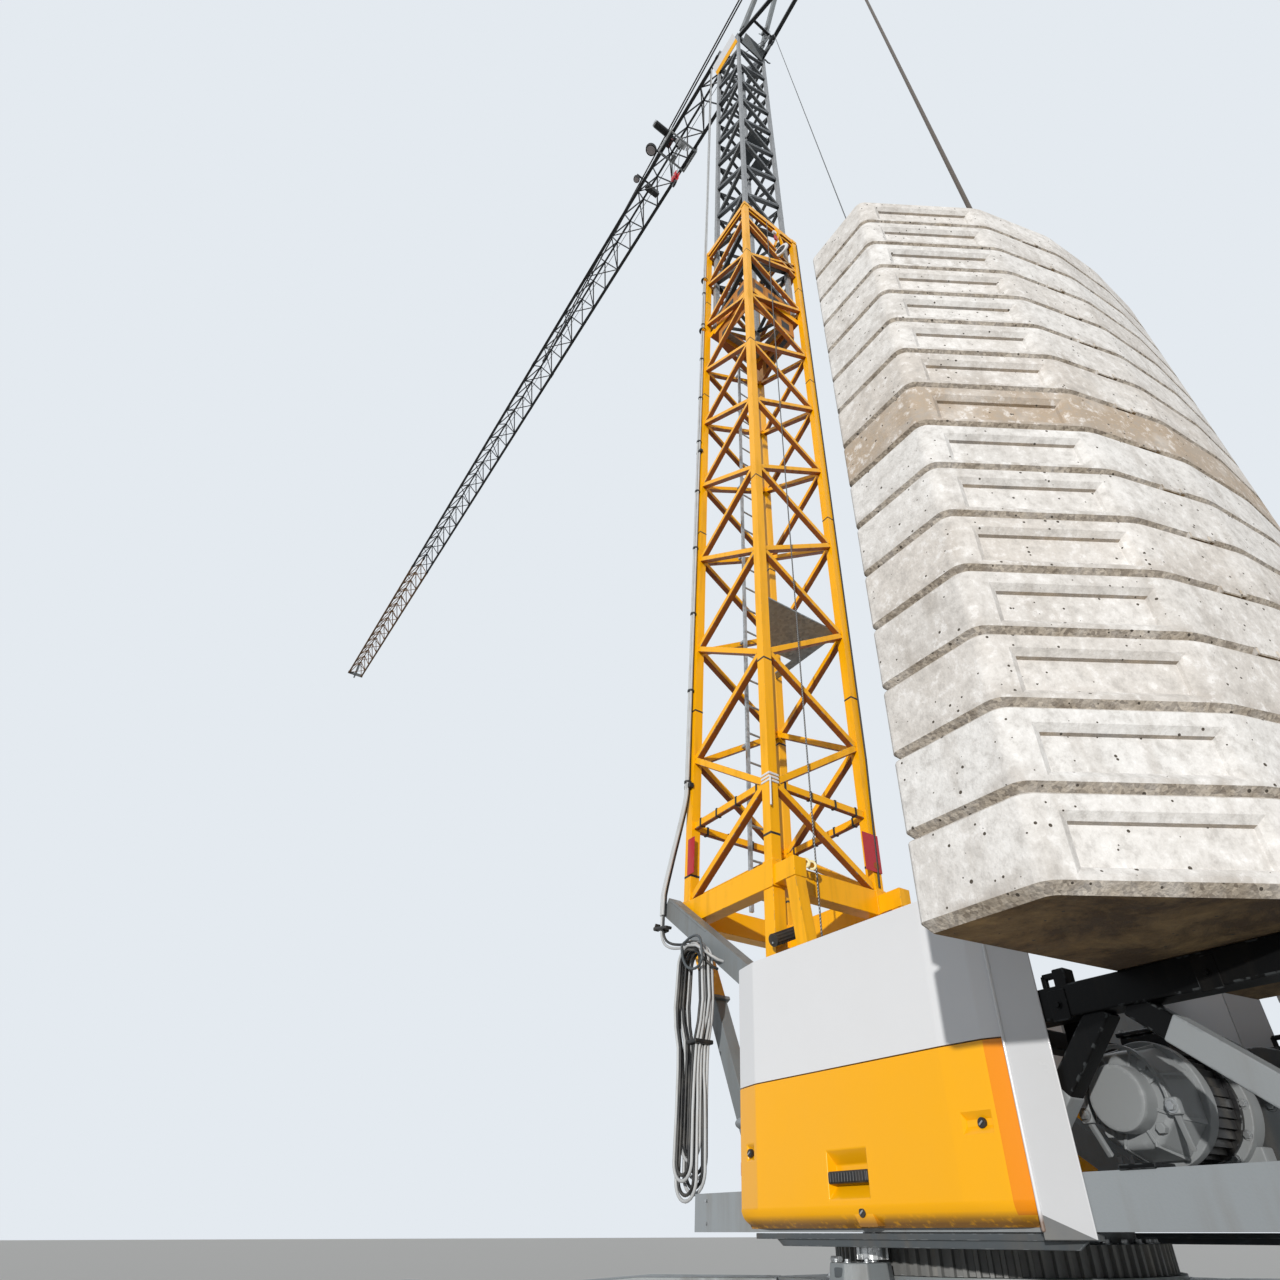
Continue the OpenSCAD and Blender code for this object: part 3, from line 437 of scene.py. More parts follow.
# ---- Outrigger arms: tapered box arms of welded plate, hinged on the corners of the frame by a long pin,
# with a threaded sleeve for the foot spindle at the tip.
bm = carry("outrigger_arms", 0.005)
for side in range(4):
    turn = Matrix.Rotation(math.radians(45 + 90 * side), 4, "Z")
    disc(bm, turn @ Vector((0.56, -0.085, 0.45)), turn @ Vector((0.56, 0.085, 0.45)), 0.032, 1, 0.003, 24)
    for high in (-0.066, 0.066):
        cube(bm, turn @ box((0.515, high - 0.006, 0.345), (0.62, high + 0.006, 0.555)), 0, 0.004)
        cube(bm, turn @ beam((0.66, high, 0.50), (1.32, high, 0.485), 0.008, 0.05), 0, 0.003)
    for high in (-0.02, 0.02):
        bolt(bm, turn @ Vector((1.33, high, 0.523)), Vector((0, 0, 1)), 0.02, 1)
piece("outrigger_arm_boxes", bm, [grey_paint, zinc_bolt], UNDER, ["outrigger_arms"])


# ---- Support feet: galvanised plates on ball joints under threaded spindles, turned down by a hexagon
# nut and a cross bar until the wheels are free of the ground.
bm = carry("support_feet", 0.003, angle=40)
for side in range(4):
    turn = Matrix.Rotation(math.radians(45 + 90 * side), 4, "Z")
    for k in range(20):
        z = 0.085 + k * 0.0098
        disc(bm, turn @ Vector((1.4142, 0, z)), turn @ Vector((1.4142, 0, z + 0.0049)), 0.0325, 0, sides=20)
    disc(bm, turn @ Vector((1.4142, -0.06, 0.536)), turn @ Vector((1.4142, 0.06, 0.536)), 0.008, 0, 0.002, 16)
    disc(bm, turn @ Vector((1.4142, 0, 0.030)), turn @ Vector((1.4142, 0, 0.040)), 0.118, 0, 0.002, 48)
piece("support_foot_spindles", bm, [weathered_zinc], UNDER, ["support_feet"])


# ---- Slewing ring: forged steel with teeth cut round its rim, under old grease that holds dust, and
# a ring of bolts through its upper face.
greased = painted_steel("greased_forged_steel", "#6c6d6c", 0.5, 0.9, 0.9, "#8f8d88", "#a5a8aa", 0.6)
bm = fresh()
disc(bm, (0, 0, 0.5725), (0, 0, 0.621), 0.3565, 0, 0.001, 128)
for tooth in range(92):
    turn = Matrix.Rotation(math.tau * tooth / 92, 4, "Z")
    made = bmesh.ops.create_cube(bm, size=1.0, matrix=turn @ box((0.353, -0.0072, 0.5725), (0.366, 0.0072, 0.621)))
    for v in made["verts"]:
        local = turn.inverted() @ v.co
        if local.x > 0.36:
            local.y *= 0.52
            v.co = turn @ local
for k in range(40):
    turn = Matrix.Rotation(math.tau * (k + 0.5) / 40, 4, "Z")
    bolt(bm, turn @ Vector((0.333, 0, 0.6205)), (0, 0, 1), 0.016, 1)
piece("slewing_ring_teeth", bm, [greased, zinc_bolt], UNDER, ["slewing_ring"], 25)
bm = fresh()
disc(bm, (0, 0, 0.5485), (0, 0, 0.5595), 0.392, 0, 0.002, 96)
for k in range(36):
    turn = Matrix.Rotation(math.tau * k / 36, 4, "Z")
    bolt(bm, turn @ Vector((0.381, 0, 0.5595)), (0, 0, 1), 0.014, 1)
piece("ring_seat_flange", bm, [painted_steel("dusty_green_grey_paint", "#7c8683", 0.5, 0.8, 0.6),
                                           zinc_bolt], UNDER)


# ---- Slewing platform: two deep side beams, cross members and a turntable of welded plate in grey
# paint. The side beams are dusty and take a paler copy of the grey, which is painted sunlight.
bm = carry("platform_frame", 0.004)
for s in (-1, 1):
    for x, z in ((-0.975, 0.700), (-0.975, 0.656), (0.47, 0.700), (0.47, 0.656)):
        bolt(bm, (x, s * 0.481, z), (0, s, 0), 0.007, 1)
    for x in (-0.70, -0.45, -0.05, 0.30):
        near, far = sorted((s * 0.39, s * 0.421))
        cube(bm, box((x - 0.004, near, 0.645), (x + 0.004, far, 0.71)), 0, 0.002)
    cube(bm, box((-1.004, s * 0.45 - 0.024, 0.645), (-0.999, s * 0.45 + 0.024, 0.71)), 0, 0.002)
piece("platform_beams", bm, [pale_grey_and_painted_sunlight_paint, zinc_bolt], "platform", ["platform_frame"])


# ---- Ballast carrier: a black trestle of square tube whose rear legs are grey, bolted on the side beams,
# with the blocks' bearing rails on top. Its black is deepened as painted shade, and its grey is lightened as
# painted sunlight.
bm = fresh()
for s in (-1, 1):
    y = s * 0.4545
    cube(bm, box((-1.15, y - 0.0265, 0.932), (-0.33, y + 0.0265, 0.985)), 0, 0.004)
    for a, b in (((-0.668, y, 0.940), (-0.418, y, 0.690)), ((-0.718, y, 0.937), (-1.010, y, 0.695))):
        cube(bm, beam(a, b, 0.040, 0.040), 0, 0.004)
    cube(bm, beam((-0.560, y, 0.832), (-0.436, y, 0.708), 0.044, 0.044), 1, 0.004)
    cube(bm, box((-0.380, y - 0.020, 0.7152), (-0.340, y + 0.020, 0.937)), 0, 0.004)
for x in (-1.11, -0.40):
    cube(bm, box((x, -0.43, 0.940), (x + 0.046, 0.43, 0.977)), 0, 0.004)
for s in (-1, 1):
    y = s * (0.481 - 0.0265)
    cube(bm, beam((-0.772, y, 0.8925), (-1.008, y, 0.697), 0.046, 0.044), 1, 0.004)
    cube(bm, box((-0.625, y - 0.006, 0.976), (-0.600, y + 0.026, 1.012)), 0, 0.003)
    cube(bm, beam((-0.600, y + 0.015, 1.004), (-0.575, y + 0.015, 1.004), 0.010, 0.010), 0, 0.002)
    cube(bm, beam((-0.577, y + 0.015, 1.006), (-0.577, y + 0.015, 0.985), 0.010, 0.010), 0, 0.002)
    for x in (-0.46, -0.66, -0.98):
        cube(bm, box((x - 0.03, y - 0.03, 0.714), (x + 0.03, y + 0.03, 0.722)), 0, 0.002)
    for x in (-0.60, -0.86):
        cube(bm, box((x - 0.018, s * 0.4815 - 0.002, 0.928), (x + 0.018, s * 0.4815 + 0.002, 0.978)), 0, 0.002)
        bolt(bm, (x, s * 0.4835, 0.953), (0, s, 0), 0.010, 0)
    for x in (-0.36, -0.58, -1.00):
        cube(bm, box((x - 0.025, s * 0.40 - 0.012, 0.90), (x + 0.025, s * 0.40 + 0.012, 0.975)), 0, 0.003)
# This black is deeper and less glossy than the other black paint: painted shade.
black_trestle_paint_painted_shade = painted_steel("black_carrier_paint_with_painted_shade", "#0c0d0e", 0.42, 0.10, 0.4, "#4d463d", "#55595b")
black_trestle_paint_painted_shade.node_tree.nodes["Principled BSDF"].inputs["Specular IOR Level"].default_value = 0.12
# The brace's grey is lighter than the frame's grey: painted sunlight.
grey_brace_paint_painted_sunlight = painted_steel("grey_brace_paint_with_painted_sunlight", "#8e9396", 0.40, 0.30, 0.6)
piece("ballast_trestle", bm, [black_trestle_paint_painted_shade, grey_brace_paint_painted_sunlight, zinc_bolt], "platform", ["ballast_carrier"])


# ---- Ballast blocks: concrete slabs cast upside down in steel moulds, so the sides are smooth with air
# pores and the bottom edge is a rough chamfer. Each pour has its own tone, and rain has stained them.
BLOCK_H, BLOCK_Z = 0.1447, 0.985  # height of a block, and foot of the lowest one


def cast_concrete(name):
    """Weathered cast concrete: pale cement skin, pores of 2 to 6 mm with painted shade in them, brown rain
    stains and rough, darker chamfers. The tone of each block comes from the mesh."""
    mat, tree, shader, place = material(name)
    tone = add(tree, "Attribute", attribute_name="tone").outputs["Fac"]
    shift = add(tree, "CombineXYZ", {0: tone, 1: tone, 2: tone}).outputs[0]
    moved = add(tree, "VectorMath", {0: shift, 1: (37.0, 53.0, 71.0), 2: place}, operation="MULTIPLY_ADD").outputs[0]
    base = blend(tree, tone, srgb("#e2e1df"), srgb("#b09c84"))
    cloud = noise(tree, moved, 3.2, 8.0, 0.62)
    cloud = ranged(tree, cloud, 0.46, 0.76, 0.6)
    base = blend(tree, cloud, base, srgb("#b5afa8"))
    pale = noise(tree, moved, 7.5, 6.0)
    pale = ranged(tree, pale, 0.50, 0.68, 0.5)
    base = blend(tree, pale, base, srgb("#f0efed"))
    broken = noise(tree, moved, 16.0, 6.0, 0.6)
    broken = ranged(tree, broken, 0.40, 0.66, 0.7)
    drawn = add(tree, "Mapping", {"Vector": moved, "Scale": (1.0, 1.0, 0.16)}).outputs[0]
    runs = noise(tree, drawn, 22.0, 5.0)
    runs = ranged(tree, runs, 0.56, 0.80, 0.5)
    base = blend(tree, runs, base, srgb("#a0978c"))
    level = add(tree, "SeparateXYZ", {0: place}).outputs[2]
    level = maths(tree, "ADD", level, -BLOCK_Z)
    level = maths(tree, "MULTIPLY", level, 1 / BLOCK_H)
    level = maths(tree, "FRACT", level)
    damp = ranged(tree, level, 0.36, 0.10, 1.0)
    damp = maths(tree, "MULTIPLY", damp, broken)
    base = blend(tree, damp, base, srgb("#a59c92"))
    mottle = noise(tree, moved, 42.0, 9.0, 0.72)
    spots = ranged(tree, mottle, 0.50, 0.66, 0.55)
    base = blend(tree, spots, base, srgb("#a8a49f"))
    chalk = ranged(tree, mottle, 0.47, 0.36, 0.6)
    base = blend(tree, chalk, base, srgb("#f6f5f4"))
    facing = add(tree, "SeparateXYZ", {0: add(tree, "NewGeometry").outputs["True Normal"]}).outputs[2]
    under = ranged(tree, facing, -0.80, -0.95, 0.95)
    crust = add(tree, "TexNoise", {"Vector": moved, "Scale": 7.0, "Detail": 12.0, "Roughness": 0.74,
                                   "Distortion": 0.4}).outputs["Fac"]
    crust = ranged(tree, crust, 0.40, 0.64)
    brown = blend(tree, crust, srgb("#4a3416"), srgb("#a08356"))
    base = blend(tree, under, base, brown)
    grain = noise(tree, moved, 160.0, 4.0)
    edge = add(tree, "Attribute", attribute_name="edge").outputs["Fac"]
    rough = maths(tree, "ADD", broken, 0.22)
    rough = maths(tree, "MULTIPLY", rough, edge)
    base = blend(tree, rough, base, srgb("#7c7265"))
    stones = add(tree, "TexVoronoi", {"Vector": moved, "Scale": 150.0, "Randomness": 1.0})
    stones = add(tree, "SeparateColor", {0: stones.outputs["Color"]}).outputs[1]
    gravel = blend(tree, stones, srgb("#77695a"), srgb("#ddd0bd"))
    shown = maths(tree, "MULTIPLY", edge, 0.5)
    base = blend(tree, shown, base, gravel)
    pores = add(tree, "TexVoronoi", {"Vector": moved, "Scale": 78.0, "Randomness": 1.0})
    chance = add(tree, "SeparateColor", {0: pores.outputs["Color"]}).outputs[0]
    chance = maths(tree, "MULTIPLY_ADD", edge, 0.12, chance)
    size = ranged(tree, chance, 0.70, 1.0, 0.24)
    pore_dent_and_shade = maths(tree, "LESS_THAN", pores.outputs["Distance"], size)
    # Pores painted dark: painted shade in the holes.
    base = blend(tree, pore_dent_and_shade, base, srgb("#4f483f"))
    high = maths(tree, "MULTIPLY_ADD", pore_dent_and_shade, -2.5, grain)
    high = maths(tree, "MULTIPLY_ADD", edge, grain, high)
    lumps = maths(tree, "MULTIPLY", under, crust)
    high = maths(tree, "MULTIPLY_ADD", lumps, 5.0, high)
    bump = add(tree, "Bump", {"Height": high, "Strength": 0.5, "Distance": 0.003}).outputs[0]
    plug(tree, shader, {"Base Color": base, "Roughness": 0.88, "Normal": bump})
    return mat


concrete = cast_concrete("weathered_cast_concrete")
SIDE = [(-0.652, 0.896), (-0.878, 0.896), (-1.084, 0.584), (-1.164, 0.334), (-1.192, 0.109)]
OUTLINE = (SIDE + [(x, -y) for x, y in reversed(SIDE)]
           + [(-0.753, -0.06), (-0.967, -0.06), (-0.967, 0.06), (-0.753, 0.06)])
TONES = [0.10, 0.02, 0.22, 0.15, 0.30, 0.12, 0.05, 0.92, 0.35, 0.16, 0.08, 0.20, 0.04, 0.12, 0.18]


def facet_cut(bm, faces, point, normal):
    """Cuts some of the faces along a plane."""
    geom = set(faces) | {e for f in faces for e in f.edges} | {v for f in faces for v in f.verts}
    bmesh.ops.bisect_plane(bm, geom=list(geom), plane_co=point, plane_no=normal, dist=0.00001)


def ballast_block(number):
    """One slab: recess moulded in its slanting corner facets, notches at its rear edge, chamfer below."""
    bm = fresh()
    z = BLOCK_Z + BLOCK_H * number
    draw = random.Random(number + 40)
    base = bm.faces.new([bm.verts.new((x, y, z + 0.0012)) for x, y in OUTLINE])
    top = bmesh.ops.extrude_face_region(bm, geom=[base])["geom"]
    bmesh.ops.translate(bm, verts=[v for v in top if isinstance(v, bmesh.types.BMVert)], vec=(0, 0, BLOCK_H - 0.0024))
    bmesh.ops.recalc_face_normals(bm, faces=bm.faces)
    upright = [e for e in bm.edges if abs(e.verts[0].co.z - e.verts[1].co.z) > 0.1
               and abs(e.verts[0].co.y) > 0.07]
    bevel(bm, upright, 0.018, 4, 0.0)
    for s in (-1, 1):
        a, b = Vector((-0.878, s * 0.896, 0)), Vector((-1.084, s * 0.584, 0))
        way = (b - a).normalized()
        out = Vector((way.y, -way.x, 0)) * (1 if s < 0 else -1)
        if out.x > 0:
            out.negate()
        length = (b - a).length
        pick = lambda: [f for f in bm.faces if f.normal.dot(out) > 0.999]
        for share in (0.12, 0.92):
            facet_cut(bm, pick(), a + way * length * share, way)
        for share in (0.17, 0.80):
            facet_cut(bm, pick(), Vector((0, 0, z + BLOCK_H * share)), Vector((0, 0, 1)))
        middle = [f for f in pick() if 0.2 < (f.calc_center_median() - a).dot(way) / length < 0.85
                  and 0.3 < (f.calc_center_median().z - z) / BLOCK_H < 0.7]
        for slope, deep in ((0.012, 0.009), (0.003, 0.006)):
            bmesh.ops.inset_region(bm, faces=middle, thickness=slope, depth=0.0, use_even_offset=True)
            for v in {v for f in middle for v in f.verts}:
                v.co -= out * deep
    rim = [e for e in bm.edges if all(v.co.z < z + 0.003 for v in e.verts) and len(e.link_faces) == 2
           and e.calc_face_angle() > 1.0]
    bevel(bm, rim, 0.0155, 1)
    lip = [e for e in bm.edges if all(v.co.z > z + BLOCK_H - 0.004 for v in e.verts) and len(e.link_faces) == 2
           and e.calc_face_angle() > 1.0]
    bevel(bm, lip, 0.003, 2, 0.5)
    for s in (-1, 1):
        a, b = Vector((*SIDE[2], z + 0.008)), Vector((*SIDE[3], z + 0.008))
        a.y, b.y = s * a.y, s * b.y
        share = 0.50 + draw.uniform(-0.03, 0.03)
        for first, last, proud in ((share, share + 0.17, 0.0035), (share + 0.17, share + 0.22, 0.006)):
            inward = Matrix.Translation(Vector((1.0, -s * 0.32, 0)).normalized() * (0.010 - proud))
            cube(bm, inward @ beam(a.lerp(b, first), a.lerp(b, last), 0.020, 0.0165), 0, 0.002, 1)
    tone = bm.verts.layers.float.new("tone")
    for v in bm.verts:
        v[tone] = TONES[number]
    return bm


for first, word in enumerate(("odd", "even")):
    whole = fresh()
    for number in range(first, 15, 2):
        part = ballast_block(number)
        held = bpy.data.meshes.new("slab")
        part.to_mesh(held)
        part.free()
        whole.from_mesh(held)
        bpy.data.meshes.remove(held)
    piece("ballast_slabs_" + word, whole, [concrete], "platform", ["ballast_blocks_" + word], 20)


# ---- Machinery covers: panels of moulded glass-fibre plastic in glossy gel coat, white above and yellow
# below, each hung on the side of the platform by quarter-turn locks, with one ribbed grip.
def gel_coat(name, paint, dust=0.12, rough=0.22, belly=0.85):
    """Glass-fibre moulding in polished gel coat: high gloss, slightly wavy, with thin road film."""
    mat, tree, shader, place = material(name)
    film = noise(tree, place, 3.5, 6.0, 0.65)
    film = ranged(tree, film, 0.4, 0.8, dust)
    low = add(tree, "SeparateXYZ", {0: place}).outputs[2]
    low = ranged(tree, low, 0.668, 0.652, belly)
    specks = noise(tree, place, 90.0, 3.0)
    specks = add(tree, "MapRange", {"Value": specks, "From Min": 0.72, "From Max": 0.55, "To Min": 0.4}).outputs[0]
    low = maths(tree, "MULTIPLY", low, specks)
    colour = blend(tree, film, srgb(paint), srgb("#9a9382"))
    colour = blend(tree, low, colour, srgb("#6b4a2c"))
    dull = maths(tree, "MULTIPLY_ADD", film, 0.8, rough)
    wave = noise(tree, place, 9.0, 1.0)
    bump = add(tree, "Bump", {"Height": wave, "Strength": 0.06, "Distance": 0.004}).outputs[0]
    plug(tree, shader, {"Base Color": colour, "Roughness": dull, "Normal": bump, "Specular IOR Level": 0.3,
                        "Coat Weight": 0.12, "Coat Roughness": 0.08})
    return mat


yellow_coat = gel_coat("yellow_gel_coat", "#f7b000", 0.04)
# The deeper yellow is painted shade on the covers' rear facets, and is also the colour of the roller's end.
deep_yellow_and_facet_shade_coat = gel_coat("deep_yellow_gel_coat_and_painted_facet_shade", "#e98c00", 0.04)
white_coat = gel_coat("white_gel_coat", "#dcdee1", 0.05)
panel_coat = gel_coat("light_grey_gel_coat", "#c9cbce", 0.10, belly=0.0)
grey_coat = gel_coat("dark_grey_gel_coat", "#6d7073", 0.4, 0.35, 0.0)
black_moulding = painted_steel("black_moulded_plastic", "#1f2022", 0.5, 0.25, 0.0)

PLAN = [(0.300, 0.504), (0.215, 0.523), (-0.352, 0.523), (-0.450, 0.516), (-0.486, 0.500), (-0.486, 0.482),
        (0.300, 0.482)]


def panel(levels):
    """A panel with the covers' plan: a ring of corners at each height, drawn in by the given distance,
    with soft creases between its facets and a round lower edge."""
    bm = fresh()
    rings = [[bm.verts.new((x + (0.4 * inset if x < -0.48 else -0.4 * inset if x > 0.29 else 0),
                            y - inset if y > 0.49 else y, z)) for x, y in PLAN] for z, inset in levels]
    for low, high in zip(rings, rings[1:]):
        for k in range(len(PLAN)):
            bm.faces.new((low[k - 1], low[k], high[k], high[k - 1]))
    bm.faces.new(rings[0])
    bm.faces.new(rings[-1])
    bmesh.ops.recalc_face_normals(bm, faces=bm.faces)
    level = lambda e: abs(e.verts[0].co.z - e.verts[1].co.z) < 0.001
    if len(levels) > 2:
        round_edges(bm, [e for e in bm.edges if level(e) and abs(e.verts[0].co.z - levels[1][0]) < 0.001
                         and min(v.co.y for v in e.verts) > 0.49], 0.015, 5, 10)
    round_edges(bm, [e for e in bm.edges if not level(e) and e.calc_length() > 0.1], 0.004, 2, 2)
    round_edges(bm, [e for e in bm.edges if level(e) and e.verts[0].co.z > levels[-1][0] - 0.001], 0.004, 2, 20)
    return bm


def sunk(bm, x0, x1, z0, z1, deep, slope, fall):
    """Presses a pocket into the outer face of a panel, with steep ends and a long slope above and below."""
    face = lambda: [f for f in bm.faces if f.normal.y > 0.97 and f.calc_center_median().y > 0.5]
    around = lambda: [f for f in face() if min(v.co.x for v in f.verts) < x1 and max(v.co.x for v in f.verts) > x0
                      and min(v.co.z for v in f.verts) < z1 and max(v.co.z for v in f.verts) > z0]
    for x in (x0, x1):
        facet_cut(bm, around(), (x, 0.5, 0), (1, 0, 0))
    for z in (z0, z1):
        facet_cut(bm, [f for f in around() if x0 - 0.001 < f.calc_center_median().x < x1 + 0.001], (0, 0.5, z),
                  (0, 0, 1))
    middle = [f for f in face() if x0 < f.calc_center_median().x < x1 and z0 < f.calc_center_median().z < z1]
    bmesh.ops.inset_region(bm, faces=middle, thickness=slope, depth=0.0, use_even_offset=True)
    for v in {v for f in middle for v in f.verts}:
        v.co.y -= deep
        v.co.z += (fall - slope) * (1 if v.co.z < (z0 + z1) / 2 else -1)


def handed(bm, side):
    """Turns a left piece into a right one when side is -1."""
    if side < 0:
        bmesh.ops.scale(bm, vec=(1, -1, 1), verts=bm.verts)
        bmesh.ops.recalc_face_normals(bm, faces=bm.faces)
    return bm


for side, word in ((1, "left"), (-1, "right")):
    bm = panel([(0.646, 0.028), (0.667, 0.0), (0.9175, 0.0)])
    whole = set(bm.edges)
    sunk(bm, -0.131, -0.017, 0.690, 0.772, 0.022, 0.005, 0.024)
    sunk(bm, 0.229, 0.263, 0.768, 0.800, 0.007, 0.003, 0.008)
    sunk(bm, -0.440, -0.376, 0.775, 0.809, 0.009, 0.005, 0.012)
    # The rear facet takes the deeper yellow coat: painted shade.
    for face in bm.faces:
        middle = face.calc_center_median()
        if face.normal.x < -0.2 and middle.x < -0.45 and middle.z > 0.66:
            face.material_index = 3
    round_edges(bm, [e for e in bm.edges if e not in whole and e.calc_length() > 0.008], 0.0025, 2, 25)
    cube(bm, box((-0.1305, 0.503, 0.716), (-0.0175, 0.5245, 0.737)), 1, 0.004, 3)
    for k in range(13):
        x = -0.127 + k * 0.0083
        cube(bm, box((x, 0.5235, 0.718), (x + 0.0038, 0.5260, 0.735)), 1, 0.001, 1)
    for x, z, y in ((0.247, 0.783, 0.5165), (-0.414, 0.791, 0.5125), (-0.104, 0.670, 0.519)):
        disc(bm, (x, y - 0.006, z), (x, y + 0.003, z), 0.0085, 1, 0.0015, 24)
        cube(bm, turned((x, y + 0.0035, z), Matrix.Rotation(0.6, 4, "Y"), 0.010, 0.002, 0.0025), 2)
    base = bm.faces.new([bm.verts.new((x, 0.5185, z)) for x, z in
                         ((-0.062, 0.694), (-0.118, 0.694), (-0.124, 0.676), (-0.142, 0.648), (-0.094, 0.648))])
    made = bmesh.ops.extrude_face_region(bm, geom=[base])["geom"]
    bmesh.ops.translate(bm, verts=[v for v in made if isinstance(v, bmesh.types.BMVert)], vec=(0, -0.030, 0))
    bmesh.ops.recalc_face_normals(bm, faces=bm.faces)
    round_edges(bm, {e for v in made if isinstance(v, bmesh.types.BMVert) for e in v.link_edges}, 0.003, 2)
    piece("cover_lower_panel_" + word, handed(bm, side),
          [yellow_coat, black_moulding, zinc_bolt, deep_yellow_and_facet_shade_coat], "platform",
          ["cover_lower_" + word], 30)
    bm = panel([(0.919, 0.0), (1.197, 0.0)])
    piece("cover_upper_panel_" + word, handed(bm, side), [white_coat], "platform",
          ["cover_upper_" + word], 30)
    bm = carry("cover_end_" + word, 0.004, 3)
    facet_cut(bm, list(bm.faces), (-0.486, 0.5, 0.664), (-0.386, 0, 0.922))
    for face in bm.faces:
        middle = face.calc_center_median()
        if (middle - Vector((-0.486, 0, 0.664))).dot(Vector((-0.386, 0, 0.922))) < 0:
            face.material_index = 1
    piece("cover_end_panel_" + word, bm, [panel_coat, grey_coat], "platform", ["cover_end_" + word], 30)
    bm = fresh()
    cube(bm, beam((-0.4885, 0.504, 0.640), (-0.4885, 0.504, 1.190), 0.009, 0.006), 1, 0.002)
    base = bm.faces.new([bm.verts.new((x, y, 0.6285)) for x, y in
                         ((0.290, 0.470), (0.205, 0.486), (-0.350, 0.486), (-0.560, 0.470), (-0.560, 0.455),
                          (0.290, 0.455))])
    made = bmesh.ops.extrude_face_region(bm, geom=[base])["geom"]
    bmesh.ops.translate(bm, verts=[v for v in made if isinstance(v, bmesh.types.BMVert)], vec=(0, 0, 0.010))
    skirt = bm.faces.new([bm.verts.new((x, y, 0.617)) for x, y in
                          ((0.190, 0.476), (0.160, 0.481), (-0.350, 0.481), (-0.520, 0.468), (-0.520, 0.462),
                           (0.190, 0.466))])
    made = bmesh.ops.extrude_face_region(bm, geom=[skirt])["geom"]
    for v in made:
        if isinstance(v, bmesh.types.BMVert):
            v.co.z = 0.630
            v.co.x += 0.022 if v.co.x > 0 else -0.02
    bmesh.ops.recalc_face_normals(bm, faces=bm.faces)
    round_edges(bm, bm.edges, 0.002, 2)
    disc(bm, (0.298, 0.4935, 0.848), (0.319, 0.4935, 0.848), 0.0115, 2, 0.003, 24)
    disc(bm, (0.319, 0.4935, 0.848), (0.324, 0.4935, 0.848), 0.0085, 3, 0.002, 24)
    cube(bm, box((0.2985, 0.486, 0.742), (0.306, 0.500, 0.770)), 4, 0.002)
    piece("cover_sill_" + word, handed(bm, side),
          [dark_grey_paint, white_coat, weathered_zinc, black_moulding,
           painted_steel("red_reflector", "#b3121c", 0.2, 0.1, 0.0)],
          "platform")


# ---- Switch cabinets: folded sheet boxes behind the covers, in light grey powder coat, with a lip round
# each door and small hinges.
bm = carry("switch_cabinets", 0.004)
for s in (-1, 1):
    cube(bm, box((-0.318, s * 0.3575 - 0.003, 0.735), (-0.087, s * 0.3575 + 0.003, 1.160)), 0, 0.002)
    for z in (0.80, 0.95, 1.10):
        disc(bm, (-0.322, s * 0.354, z - 0.015), (-0.322, s * 0.354, z + 0.015), 0.005, 1, 0.001, 16)
    disc(bm, (-0.105, s * 0.352, 0.95), (-0.105, s * 0.3545, 0.95), 0.012, 1, 0.001, 24)
piece("switch_boxes", bm, [painted_steel("light_grey_powder_coat", "#8f9598", 0.45, 0.2, 0.2),
                                           black_paint], "platform", ["switch_cabinets"])


# ---- Slewing drive: an electric motor over a planetary gear whose pinion runs in the ring's teeth, in a
# cast grey housing, with a bright shaft above it.
bright_steel = galvanised("bright_turned_steel", "#d5d7d8", 0.25)
bm = fresh()
PINION = (0.0, 0.399)  # the drive's axis
disc(bm, (*PINION, 0.590), (*PINION, 0.6900), 0.0135, 1, 0.001, 32)
disc(bm, (*PINION, 0.6235), (*PINION, 0.6275), 0.023, 1, 0.001, 32)
cube(bm, box((-0.05, 0.289, 0.655), (0.05, 0.4207, 0.735)), 0, 0.004)
disc(bm, (0.0, 0.3985, 0.5965), (0.0, 0.3985, 0.6215), 0.0275, 1, 0.001, 40)
for tooth in range(10):
    turn = Matrix.Translation((0.0, 0.3985, 0)) @ Matrix.Rotation(math.tau * tooth / 10, 4, "Z")
    cube(bm, turn @ box((0.020, -0.0045, 0.597), (0.0315, 0.0045, 0.621)), 1)
made = bmesh.ops.create_cone(bm, cap_ends=True, segments=8, radius1=0.066, radius2=0.062, depth=0.030,
                             matrix=Matrix.Translation((PINION[0], PINION[1] + 0.036, 0.5785))
                             @ Matrix.Rotation(math.radians(12), 4, "Z"))["verts"]
dress(bm, made, 3, 0.003)
for a in (0.3, 1.0, 1.8, 2.6):
    bolt(bm, (PINION[0] + 0.050 * math.cos(a), PINION[1] + 0.036 + 0.048 * math.sin(a), 0.5935), (0, 0, 1), 0.010, 2)
disc(bm, (0.020, 0.470, 0.5975), (0.052, 0.462, 0.5975), 0.006, 2, 0.001, 6)
cube(bm, box((-0.012, 0.492, 0.571), (0.012, 0.4975, 0.586)), 0, 0.002)
disc(bm, (*PINION, 0.735), (*PINION, 0.748), 0.046, 0, 0.002)
disc(bm, (*PINION, 0.748), (*PINION, 0.900), 0.034, 0, 0.002)
for k in range(24):
    turn = Matrix.Translation((*PINION, 0)) @ Matrix.Rotation(math.tau * k / 24, 4, "Z")
    cube(bm, turn @ box((0.033, -0.0012, 0.752), (0.040, 0.0012, 0.893)))
disc(bm, (*PINION, 0.898), (*PINION, 0.934), 0.038, 0, 0.006)
piece("slewing_gear_motor", bm, [dark_grey_paint, bright_steel, zinc_bolt, grey_paint], "platform",
      ["slewing_drive"])


